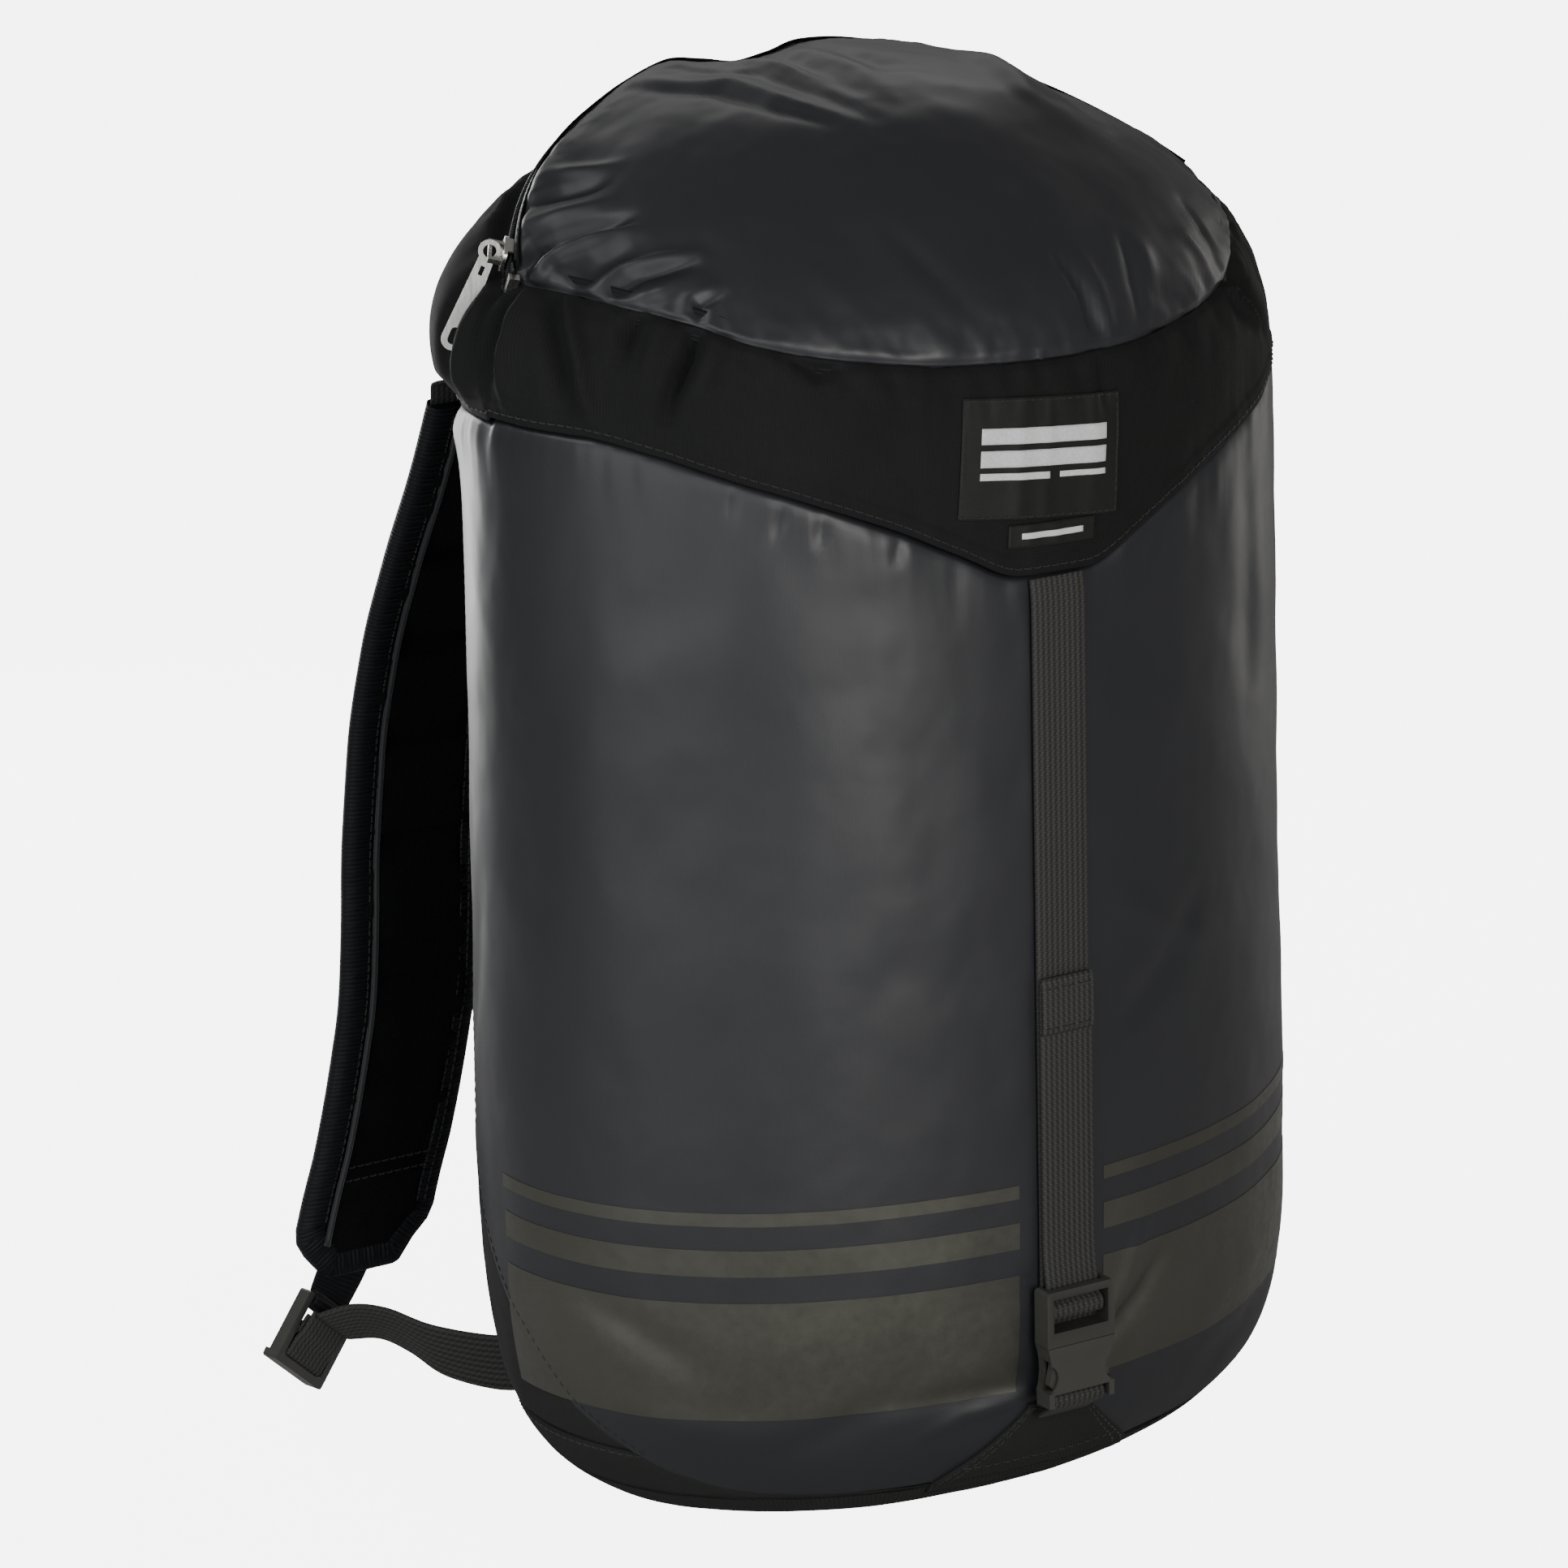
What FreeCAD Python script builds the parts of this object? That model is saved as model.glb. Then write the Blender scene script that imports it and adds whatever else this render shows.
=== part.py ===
import FreeCAD, Part
import math
import os

V = FreeCAD.Vector
os.makedirs("parts", exist_ok=True)

# ---------------------------------------------------------------- driving dimensions (mm)
# Stuffed shape of the sack: height, half width, half depth, centre shift towards the back.
SECTIONS = [
    (0, 106, 69, 0),
    (3, 112, 75, 0),
    (8, 119, 82, 0),
    (16, 127, 89, 0),
    (28, 134, 95, 0),
    (45, 139, 99.5, 0),
    (75, 142.5, 102.5, 0),
    (120, 143.5, 103.5, 0),
    (200, 142, 103.5, 0),
    (320, 141, 103, 0),
    (370, 140, 102, 1),
    (385, 137.5, 100.3, 3.2),
    (396, 133, 97.3, 5.2),
    (405, 127, 93.3, 7.7),
    (415, 116.5, 87.3, 11.2),
    (425, 103, 80, 14.5),
    (434, 88.5, 71.5, 18.5),
    (441, 76, 64, 21.2),
    (447, 63, 55, 24.5),
    (452, 42, 38, 25.5),
]
WALL = 1.2                      # fabric with its coating and lining
REACH = 260                     # cutters run past the sack by this much

# Lower edge of the black yoke: distance from the middle, height.
YOKE_FRONT = [(0, 315), (12, 315), (34, 324), (53, 333), (76, 342), (100, 350.5), (117, 357),
              (132, 361), (142, 361)]
YOKE_BACK = [(0, 350), (110, 352), (132, 357), (142, 361)]
# Seam between the dome of the lid and the yoke, seen from the side: y, height.
DOME_SEAM = [(-98, 381.8), (-95, 382.7), (-89, 385), (-80, 388), (-70, 392), (-55, 398.5),
             (-38, 402.5), (-12.5, 406.5)]
# Seam between the front panel and the back panel, seen from the side: y, height.
BACK_SEAM = [(48, 150), (47.5, 135), (45.5, 120), (39, 108), (28, 93), (16, 80), (5, 69.5),
             (-4, 61), (-20, 43.7), (-34, 32), (-46, 22.5), (-59, 14.5), (-75, 11.5)]
BASE_TOP = 28                   # the base panel ends here under the back panel

# Zip: a circular arc from one side of the lid over the back to the other side.
ZIP_END = V(127, 8, 405)
ZIP_TOP = V(0, 77.5, 447.5)
TAPE_WIDTH = 7.5                # from the middle of the zip to the edge of one tape
TAPE_THICK = 0.8
COIL_WIDTH = 2.2
COIL_HIGH = 1.6
COIL_GAP = 0.8                  # half of the gap in which the slider's post runs
FLAP_ANGLE = 51.5               # the moving part of the lid takes the zip up to here (deg)
SLIDER_ANGLE = 60.2             # where the slider is parked (deg)

LID_HINGE = V(0, -30.5, 447)    # fold line of the lid, along X
LID_FOLD = (61.7, -28.2)        # direction of the fold plane down towards the back (y, z)
LID_GAP = 0.4

WEB_WIDTH = 20
WEB_THICK = 1.3

# Buckle on the front strap (z limits and depth limits).
BUCKLE_BACK = -105.8
BUCKLE_FRONT = -113.2
BUCKLE_HALF = 13.0
MALE_LOW = 62.2
MALE_TOP = 81.0
WING_ROOT = V(7.5, -110.3, 64.2)

# Shoulder straps (left one; the right one is its mirror image).
STRAP_LINE = [(99, 346), (108, 320), (122, 288), (134, 254), (139.5, 220), (140, 190), (137.5, 155),
              (137, 130), (136.5, 100), (136, 75), (135.5, 48)]      # y, z of the middle layer
STRAP_SIDE = [(346, -81), (300, -86), (250, -91), (200, -96), (160, -100), (134, -102.6), (117, -106),
              (84, -114.5), (68, -120), (48, -126)]                  # z, x of the centre line
STRAP_HALF = 26
BINDING = 2.2
FOAM_HALF = 2.2
CLOTH = 0.8
STRAP_HINGE = V(0, 99, 350.2)
LOCK_AT = V(-140.5, 133.5, 29.0)
LOCK_ACROSS = V(0.72, 0.215, -0.66)
LOCK_ALONG = V(-0.64, -0.153, -0.75)


# ---------------------------------------------------------------- helpers
def save(name, shape):
    shape.exportStep("parts/%s.step" % name)


def fused(shapes):
    whole = shapes[0]
    for piece in shapes[1:]:
        whole = whole.fuse(piece)
    return whole.removeSplitter()


def box(x0, x1, y0, y1, z0, z1):
    return Part.makeBox(x1 - x0, y1 - y0, z1 - z0, V(x0, y0, z0))


def prism_x(points, x0, x1):
    """Outline given as (y, z), run along X."""
    face = Part.Face(Part.makePolygon([V(x0, y, z) for y, z in points + points[:1]]))
    return face.extrude(V(x1 - x0, 0, 0))


def prism_y(points, y0, y1):
    """Outline given as (x, z), run along Y."""
    face = Part.Face(Part.makePolygon([V(x, y0, z) for x, z in points + points[:1]]))
    return face.extrude(V(0, y1 - y0, 0))


def prism_z(points, z0, z1):
    """Outline given as (x, y), run along Z."""
    face = Part.Face(Part.makePolygon([V(x, y, z0) for x, y in points + points[:1]]))
    return face.extrude(V(0, 0, z1 - z0))


def mirrored(shape):
    return shape.mirror(V(0, 0, 0), V(1, 0, 0))


def place(shape, origin, ex, ey, ez):
    """Moves a shape drawn at the origin to the frame given by three unit vectors."""
    m = FreeCAD.Matrix(ex.x, ey.x, ez.x, origin.x,
                       ex.y, ey.y, ez.y, origin.y,
                       ex.z, ey.z, ez.z, origin.z,
                       0, 0, 0, 1)
    moved = shape.copy()
    moved.Placement = FreeCAD.Placement(m).multiply(moved.Placement)
    return moved


def side_offset(points, off):
    """Shifts a line of (y, z) points sideways by off."""
    moved = []
    for i, (y, z) in enumerate(points):
        y0, z0 = points[max(i - 1, 0)]
        y1, z1 = points[min(i + 1, len(points) - 1)]
        length = math.hypot(y1 - y0, z1 - z0)
        moved.append((y - (z1 - z0) / length * off, z + (y1 - y0) / length * off))
    return moved


def spline_yz(points, x):
    curve = Part.BSplineCurve()
    curve.interpolate([V(x, y, z) for y, z in points])
    return curve.toShape()


def ribbon(points, off0, off1, x0, x1):
    """A smooth layer between two offsets of a line of (y, z) points, run along X."""
    one = side_offset(points, off0)
    two = side_offset(points, off1)
    edges = [
        spline_yz(one, x0),
        Part.makeLine(V(x0, *one[-1]), V(x0, *two[-1])),
        spline_yz(two, x0),
        Part.makeLine(V(x0, *two[0]), V(x0, *one[0])),
    ]
    face = Part.Face(Part.Wire(Part.__sortEdges__(edges)))
    return face.extrude(V(x1 - x0, 0, 0))


def strip(stations, width, thick):
    """A twisted strap through stations of (centre, direction across, direction of thickness)."""
    wires = []
    for centre, across, normal in stations:
        a = V(across).normalize() * (width / 2)
        n = V(normal).normalize() * (thick / 2)
        corners = [centre + a + n, centre - a + n, centre - a - n, centre + a - n]
        wires.append(Part.makePolygon(corners + corners[:1]))
    return Part.makeLoft(wires, True, False)


# ---------------------------------------------------------------- the stuffed sack
def slope(i, col):
    j, k = max(i - 1, 0), min(i + 1, len(SECTIONS) - 1)
    return (SECTIONS[k][col] - SECTIONS[j][col]) / (SECTIONS[k][0] - SECTIONS[j][0])


def stuffed(grow):
    """The sack as a full solid, its skin moved outwards by grow."""
    wires = []
    last = len(SECTIONS) - 1
    for i, (z, a, b, c) in enumerate(SECTIONS):
        level = z + (-grow if i == 0 else grow if i == last else 0)
        half_a = a + grow * math.hypot(1, min(abs(slope(i, 1)), 2.4))
        half_b = b + grow * math.hypot(1, min(abs(slope(i, 2)), 2.4))
        ring = Part.Ellipse(V(0, c, level), half_a, half_b)
        wires.append(Part.Wire([ring.toShape()]))
    return Part.makeLoft(wires, True, False)


def skin(inner, outer):
    return stuffed(outer).cut(stuffed(inner))


def yoke_region():
    front = [(-x, z) for x, z in YOKE_FRONT[:0:-1]] + YOKE_FRONT
    back = [(-x, z) for x, z in YOKE_BACK[:0:-1]] + YOKE_BACK
    ends = [(REACH, front[-1][1]), (REACH, 500), (-REACH, 500), (-REACH, front[0][1])]
    return fused([prism_y(front + ends, -REACH, 0), prism_y(back + ends, 0, REACH)])


def back_region():
    low = [(-REACH, 11), (-REACH, -9), (REACH, -9), (REACH, 420), (48, 420)]
    return prism_x(BACK_SEAM + low, -REACH, REACH)


ZIP_UP = V(0, ZIP_TOP.y - ZIP_END.y, ZIP_TOP.z - ZIP_END.z)
ZIP_RISE = ZIP_UP.Length
ZIP_DIR = V(ZIP_UP).normalize()                       # from the arc's centre to its top
ZIP_NORMAL = V(0, -ZIP_DIR.z, ZIP_DIR.y)              # towards the lid
ZIP_RADIUS = (ZIP_END.x ** 2 + ZIP_RISE ** 2) / (2 * ZIP_RISE)
ZIP_CENTRE = ZIP_TOP - ZIP_DIR * ZIP_RADIUS
ZIP_HALF = math.degrees(math.asin(ZIP_END.x / ZIP_RADIUS))
if ZIP_RADIUS < ZIP_RISE:
    ZIP_HALF = 180 - ZIP_HALF


def lid_region():
    end = (ZIP_END.y, ZIP_END.z)
    far = (ZIP_END.y + 3 * ZIP_UP.y, ZIP_END.z + 3 * ZIP_UP.z)
    outline = [(-REACH, 378)] + DOME_SEAM + [end, far, (-REACH, far[1])]
    return prism_x(outline, -REACH, REACH)


def fold_region(lift):
    """Everything above the fold plane of the lid."""
    length = math.hypot(*LID_FOLD)
    up_y, up_z = -LID_FOLD[1] / length * lift, LID_FOLD[0] / length * lift
    y0, z0 = LID_HINGE.y + up_y, LID_HINGE.z + up_z
    far = 4.0
    back = (y0 + far * LID_FOLD[0], z0 + far * LID_FOLD[1])
    front = (y0 - far * LID_FOLD[0], z0 - far * LID_FOLD[1])
    return prism_x([front, back, (back[0], 700), (front[0], 700)], -REACH, REACH)


def radial(angle):
    a = math.radians(angle)
    return V(1, 0, 0) * math.sin(a) + ZIP_DIR * math.cos(a)


def arc_ring(angle0, angle1, low, high, side0, side1):
    """A piece of ring along the zip: radial limits from the arc, side limits along its axis."""
    r = radial(angle0)
    corners = []
    for lift, side in ((low, side0), (high, side0), (high, side1), (low, side1)):
        corners.append(ZIP_CENTRE + r * (ZIP_RADIUS + lift) + ZIP_NORMAL * side)
    face = Part.Face(Part.makePolygon(corners + corners[:1]))
    return face.revolve(ZIP_CENTRE, ZIP_NORMAL * -1, angle1 - angle0)


def sack_panels():
    shell = skin(-WALL, 0)
    upper = shell.common(yoke_region())
    lower = shell.cut(yoke_region())
    slot = arc_ring(-ZIP_HALF - 2.5, ZIP_HALF + 2.5, -14, 14, -TAPE_WIDTH - 0.6, TAPE_WIDTH + 0.6)
    scoop = lower.common(back_region())
    base_box = box(-REACH, REACH, -REACH, REACH, -20, BASE_TOP)
    lid = upper.common(lid_region()).cut(slot)
    save("front_panel", lower.cut(back_region()))
    save("back_panel", scoop.cut(base_box))
    save("base_panel", scoop.common(base_box))
    save("yoke", upper.cut(lid_region()).cut(slot))
    save("lid_front", lid.cut(fold_region(0)))
    save("lid_flap", lid.common(fold_region(LID_GAP)))


# ---------------------------------------------------------------- zip
def zip_parts():
    end = ZIP_HALF
    tape = (-0.1 - TAPE_THICK, -0.1)
    coil = (-0.1, -0.1 + COIL_HIGH)
    wide = (COIL_GAP, TAPE_WIDTH)
    thin = (COIL_GAP, COIL_GAP + COIL_WIDTH)
    fixed = [(-end, -FLAP_ANGLE - 0.8), (FLAP_ANGLE + 0.8, end)]
    save("zip_tape_body", arc_ring(-end, end, *tape, -wide[1], -wide[0]))
    save("zip_coil_body", arc_ring(-end, end, *coil, -thin[1], -thin[0]))
    save("zip_tape_flap", arc_ring(-FLAP_ANGLE, FLAP_ANGLE, *tape, *wide))
    save("zip_coil_flap", arc_ring(-FLAP_ANGLE, FLAP_ANGLE, *coil, *thin))
    save("zip_tape_ends", Part.makeCompound([arc_ring(*pair, *tape, *wide) for pair in fixed]))
    save("zip_coil_ends", Part.makeCompound([arc_ring(*pair, *coil, *thin) for pair in fixed]))
    stops = [(-end - 1.3, -end - 0.2), (end + 0.2, end + 1.3)]
    save("zip_stops", Part.makeCompound([arc_ring(*pair, -1.4, 2.0, -3.6, 3.6) for pair in stops]))


def slider_frame():
    r = radial(-SLIDER_ANGLE)
    w = ZIP_NORMAL * -1
    t = w.cross(r)
    return ZIP_CENTRE + r * ZIP_RADIUS, t, w, r


def rounded_plate(length, width, z0, z1, radius):
    plate = box(-length / 2, length / 2, -width / 2, width / 2, z0, z1)
    upright = [e for e in plate.Edges if abs(e.tangentAt(e.FirstParameter).z) > 0.9]
    return plate.makeFillet(radius, upright)


BAIL_MID = 7.2


def slider():
    parts = [
        rounded_plate(11.0, 8.4, 2.2, 3.3, 2.6),
        rounded_plate(11.0, 8.4, -3.0, -1.9, 2.6),
        box(3.0, 4.8, -0.4, 0.4, -2.0, 2.3),
        box(-3.4, 3.0, 3.5, 4.2, 0.3, 2.4),
        box(-3.4, 3.0, -4.2, -3.5, 0.3, 2.4),
        box(-3.6, 3.6, -0.7, 0.7, BAIL_MID - 0.55, BAIL_MID + 0.55),
        box(-4.9, -3.5, -0.9, 0.9, 3.2, BAIL_MID + 0.55),
        box(3.5, 4.9, -0.9, 0.9, 3.2, BAIL_MID + 0.55),
    ]
    origin, t, w, r = slider_frame()
    save("zip_slider", place(fused(parts), origin, t, w, r))


PULL_DIR = V(-0.41, 0.13, -0.905).normalize()
PULL_FACE = V(0.554, 0.833, 0)
PULL_FACE = (PULL_FACE - PULL_DIR * PULL_FACE.dot(PULL_DIR)).normalize()


def pull_frame():
    origin, t, w, r = slider_frame()
    return origin + r * BAIL_MID, PULL_DIR, PULL_FACE.cross(PULL_DIR), PULL_FACE


def zip_pull():
    half = 0.75
    ring = Part.makeCylinder(3.6, 2 * half, V(0, 0, -half))
    tab = prism_z([(2.0, -2.4), (9.0, -2.7), (30.0, -3.6), (30.0, 3.6), (9.0, 2.7), (2.0, 2.4)],
                  -half, half)
    tip = Part.makeCylinder(3.6, 2 * half, V(30.0, 0, -half))
    whole = fused([ring, tab, tip])
    eye = Part.makeCylinder(2.1, 3, V(0, 0, -1.5))
    slot = fused([Part.makeCylinder(1.5, 3, V(x, 0, -1.5)) for x in (27.6, 30.2)]
                 + [box(27.6, 30.2, -1.5, 1.5, -1.5, 1.5)])
    small = box(5.2, 8.2, -0.7, 0.7, -1.5, 1.5)
    panels = [box(11.5, 23.5, -1.7, 1.7, half - 0.3, 2), box(11.5, 23.5, -1.7, 1.7, -2, 0.3 - half)]
    for cutter in [eye, slot, small] + panels:
        whole = whole.cut(cutter)
    save("zip_pull", place(whole, *pull_frame()))


# ---------------------------------------------------------------- front strap and buckle
def front_strap():
    strap = [(-104.7, 312), (-104.7, 250), (-104.7, 180), (-104.7, 120), (-104.7, 63.5)]
    half = WEB_WIDTH / 2
    save("front_strap", ribbon(strap, -0.65, 0.65, -half, half))


def strap_tail():
    """The strap turned round the buckle's bar and its free end with a folded hem."""
    line = [(-107.45, 74.4), (-107.5, 72.6), (-107.9, 71.2), (-109.3, 70.75), (-110.8, 71.2),
            (-111.35, 72.6), (-111.35, 73.6), (-110.8, 75.0), (-109.5, 75.7), (-108.5, 77.0),
            (-108.2, 79.5), (-107.4, 84.5), (-106.7, 90), (-106.45, 97), (-106.4, 120),
            (-106.4, 150), (-106.4, 178), (-106.5, 183)]
    half = WEB_WIDTH / 2
    loop = ribbon(line, -0.6, 0.6, -half, half)
    hem = box(-half + 0.2, half - 0.2, -108.4, -107.15, 166, 182)
    save("strap_tail", loop)
    save("strap_hem", hem)


def buckle_male():
    b, f, h = BUCKLE_BACK, BUCKLE_FRONT, BUCKLE_HALF
    block = prism_y([(-h, MALE_LOW), (h, MALE_LOW), (h, 80), (h - 1, MALE_TOP),
                     (-h + 1, MALE_TOP), (-h, 80)], f, b)
    window = box(-10.5, 10.5, f - 1, b + 1, 67.0, 78.4)
    behind = box(-10.5, 10.5, -110.4, b + 1, 67.0, MALE_TOP + 1)
    bar = box(-10.7, 10.7, -110.5, -108.5, 71.8, 74.2)
    whole = block.cut(window).cut(behind).fuse(bar)
    for side in (-1, 1):
        x0, x1 = sorted((side * 4.2, side * 10.6))
        pocket = box(x0, x1, -112.1, -108.5, MALE_LOW - 1, 66.5)
        whole = whole.cut(pocket)
    tongue = box(-3.2, 3.2, -108.4, -107.2, 49.5, MALE_LOW + 0.5)
    save("buckle_male", whole.fuse(tongue).removeSplitter())


def wing(side):
    outline = [(5.8, 64.2), (6.0, 60), (6.2, 54), (6.6, 49.5), (8.0, 47.9), (10.6, 47.9),
               (11.5, 49.0), (11.4, 50.2), (10.9, 51.7), (10.3, 54.2), (9.85, 57.2), (9.2, 60),
               (9.2, 64.2)]
    arm = prism_y(outline, -111.7, -108.9)
    root = Part.makeCylinder(1.7, 2.8, WING_ROOT - V(0, 1.4, 0), V(0, 1, 0))
    shape = arm.fuse(root).removeSplitter()
    return shape if side > 0 else mirrored(shape)


def buckle_female():
    f, b = BUCKLE_FRONT, BUCKLE_BACK
    half = [(12.9, 62.0), (12.2, 59.5), (11.7, 56.5), (11.6, 52.5), (12.0, 49.0), (12.7, 46.6),
            (12.5, 41.5)]
    outline = half + [(-x, z) for x, z in reversed(half)]
    whole = prism_y(outline, f, b)
    cavity = box(-10.5, 10.5, f + 0.95, b - 0.95, 47.3, 63)
    sides = box(-16, 16, f + 0.95, b - 2.6, 47.3, 57.2)
    whole = whole.cut(cavity).cut(sides)
    for side in (-1, 1):
        notch = Part.makeCylinder(5.2, 4.0, V(side * 14.2, f - 2, 51.6), V(0, 1, 0))
        whole = whole.cut(notch)
    whole = whole.cut(box(-10.6, 10.6, f - 1, b + 1, 43.4, 46.0))
    whole = whole.cut(box(-10.6, 10.6, f - 1, -110.4, 40, 46.0))
    whole = whole.cut(box(-10.6, 10.6, -107.8, b + 1, 40, 46.0))
    save("buckle_female", whole.removeSplitter())


def buckle_loop():
    line = [(-101.3, 39.3), (-103.6, 40.0), (-105.8, 41.0), (-106.7, 42.4), (-106.95, 43.6),
            (-107.9, 44.7), (-109.1, 44.95), (-110.3, 44.7), (-111.25, 43.6), (-111.3, 42.3),
            (-110.4, 40.6), (-107.4, 38.9), (-103.5, 37.3), (-101.5, 36.9)]
    half = WEB_WIDTH / 2
    save("buckle_loop", ribbon(line, -0.6, 0.6, -half, half))


def base_tab():
    outline = [(-11.5, 36), (11.5, 36), (39, 13), (39, 9), (-39, 9), (-39, 13)]
    cutter = prism_y(outline, -REACH, 0)
    save("base_tab", skin(0.15, 1.25).common(cutter))


def label(name, cx, cz, width, height, tilt, inner, outer):
    a = math.radians(tilt)
    corners = []
    for sx, sz in ((-1, -1), (1, -1), (1, 1), (-1, 1)):
        x, z = sx * width / 2, sz * height / 2
        corners.append((cx + x * math.cos(a) - z * math.sin(a), cz + x * math.sin(a) + z * math.cos(a)))
    save(name, skin(inner, outer).common(prism_y(corners, -REACH, 0)))


# ---------------------------------------------------------------- shoulder straps
def strap_x(z):
    for (z0, x0), (z1, x1) in zip(STRAP_SIDE, STRAP_SIDE[1:]):
        if z >= z1:
            return x0 + (x1 - x0) * (z - z0) / (z1 - z0)
    return STRAP_SIDE[-1][1]


def strap_outline(half, low, high):
    """Outline of the strap as seen from behind, with its lower corners cut."""
    levels = [high] + [z for z, _ in STRAP_SIDE if low + 9 < z < high] + [low + 9]
    left = [(strap_x(z) - half, z) for z in levels]
    right = [(strap_x(z) + half, z) for z in levels]
    tip = strap_x(low)
    return left + [(tip - half + 12, low), (tip + half - 12, low)] + right[::-1]


def shoulder_strap():
    x0, x1 = -190, -30
    low, high = 49.0, 346.0
    inner = prism_y(strap_outline(STRAP_HALF - BINDING, low + 1.5, high - 1.5), 50, 200)
    outer = prism_y(strap_outline(STRAP_HALF, low, high), 50, 200)
    # Side offsets are positive towards the back, away from the sack.
    foam = ribbon(STRAP_LINE, -FOAM_HALF, FOAM_HALF, x0, x1).common(inner)
    cover = ribbon(STRAP_LINE, FOAM_HALF, FOAM_HALF + CLOTH, x0, x1).common(inner)
    lining = ribbon(STRAP_LINE, -FOAM_HALF - CLOTH, -FOAM_HALF, x0, x1).common(inner)
    full = FOAM_HALF + CLOTH
    binding = ribbon(STRAP_LINE, -full, full, x0, x1).common(outer.cut(inner))
    return {"foam": foam, "cover": cover, "lining": lining, "binding": binding}


def strap_anchor():
    """Webbing patch that carries the top of the strap on the back of the sack."""
    cutter = prism_y([(-107, 351), (-55, 351), (-55, 372), (-107, 372)], 0, REACH)
    patch = skin(0.15, 1.6).common(cutter)
    shelf = box(-107, -55, 60, STRAP_HINGE.y + 1.4, 351.0, 353.0)
    shelf = shelf.cut(stuffed(0.15))
    return patch.fuse(shelf).removeSplitter()


def lock_axes():
    across = V(LOCK_ACROSS).normalize()
    along = V(LOCK_ALONG)
    along = (along - across * along.dot(across)).normalize()
    return across, along, across.cross(along)


def lock_place(shape):
    across, along, up = lock_axes()
    return place(shape, LOCK_AT, across, along, up)


def ladder_lock():
    rails = [box(x0, x1, -1.6, 24.5, -2.4, 2.4) for x0, x1 in ((-13.5, -10.7), (10.7, 13.5))]
    bars = [
        Part.makeCylinder(1.5, 22, V(-11, 0, 0), V(1, 0, 0)),
        box(-11, 11, 8.2, 10.6, -1.4, 1.4),
        box(-11, 11, 14.6, 17.0, -1.4, 1.4),
        box(-13.5, 13.5, 21.6, 24.5, -2.4, 4.2),
    ]
    whole = fused(rails + bars)
    ends = [e for e in whole.Edges if abs(e.tangentAt(e.FirstParameter).z) > 0.95 and e.Length > 4.5]
    try:
        whole = whole.makeFillet(1.1, ends)
    except Exception as error:
        print("ladder lock left square:", error)
    return lock_place(whole)


def lock_web():
    """Webbing round the middle bars of the ladder lock."""
    line = [(5.6, -2.8), (7.0, -2.35), (9.4, -2.2), (11.5, -1.9), (13.2, 0.0), (14.0, 1.6), (15.8, 2.2),
            (17.6, 1.7), (18.3, 0.0), (17.7, -1.8), (15.8, -2.25), (14.0, -2.9), (11.5, -3.9),
            (8.5, -4.3), (4.0, -4.6)]
    half = WEB_WIDTH / 2
    return lock_place(ribbon(line, -0.55, 0.55, -half, half))


def stub_web():
    """Webbing from the strap's end to the loop round the lock's top bar."""
    across, along, up = lock_axes()
    loop = []
    for i in range(13):
        a = math.radians(-250 + 320 * i / 12)
        loop.append((2.55 * math.cos(a), 2.55 * math.sin(a)))
    half = WEB_WIDTH / 2
    eye = lock_place(ribbon(loop, -0.6, 0.6, -half, half))
    top = V(-127.5, 135.6, 48.2)
    end = LOCK_AT - along * 2.9
    mid = (top + end) * 0.5
    web = strip([(top, V(1, 0, 0.1), V(0, 1, 0)),
                 (mid, V(0.93, 0.08, -0.32), V(-0.05, 1, 0.1)),
                 (end, across, up)], WEB_WIDTH, 1.6)
    return eye.fuse(web).removeSplitter()


def lower_web():
    """Adjuster webbing from the ladder lock to the lower corner of the sack."""
    across, along, up = lock_axes()
    start = LOCK_AT + along * 5.0 - up * 6.3
    stations = [
        (start, across, up),
        (V(-133.5, 118.5, 27.5), V(0.62, 0.10, -0.78), V(0.5, 0.3, 0.6)),
        (V(-128, 106, 27.0), V(0.45, 0.0, -0.9), V(0.7, 0.3, 0.4)),
        (V(-122, 90, 23.5), V(0.25, 0.0, -0.97), V(0.85, -0.3, 0.25)),
        (V(-110, 74, 21.5), V(0.08, 0.0, -1.0), V(0.75, 0.66, 0.0)),
        (V(-98.5, 66.0, 21.8), V(0.0, 0.0, -1.0), V(0.5, 0.86, 0.0)),
    ]
    return strip(stations, WEB_WIDTH, WEB_THICK)


def lower_anchor():
    cutter = prism_x([(55, 10), (71, 10), (71, 33), (55, 37)], -115, -78)
    return skin(0.15, 1.5).common(cutter).cut(lower_web())


def haul_loop():
    """Grab handle of folded webbing at the top of the back."""
    line = [(-44, 104.8), (-40, 106.5), (-30, 112.5), (-15, 118.0), (0, 120.0), (15, 118.0), (30, 112.5),
            (40, 106.5), (44, 104.8)]
    face_line = ribbon([(x, y) for x, y in line], -1.1, 1.1, 0, 16)
    # drawn with its width along X and its line in the YZ plane, then turned to lie along X
    turned = place(face_line, V(0, 0, 372), V(0, 0, 1), V(1, 0, 0), V(0, 1, 0))
    return turned


def haul_anchor():
    """Patch on the back with the short folded end that the grab handle turns on."""
    cutter = prism_y([(-54, 368), (-45, 368), (-45, 392), (-54, 392)], 0, REACH)
    fold = box(-52, -45, 92, 106, 372, 388).cut(stuffed(0.15))
    return skin(0.15, 1.6).common(cutter).fuse(fold).removeSplitter()


def both_sides(name, shape):
    save(name + "_left", shape)
    save(name + "_right", mirrored(shape))


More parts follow.
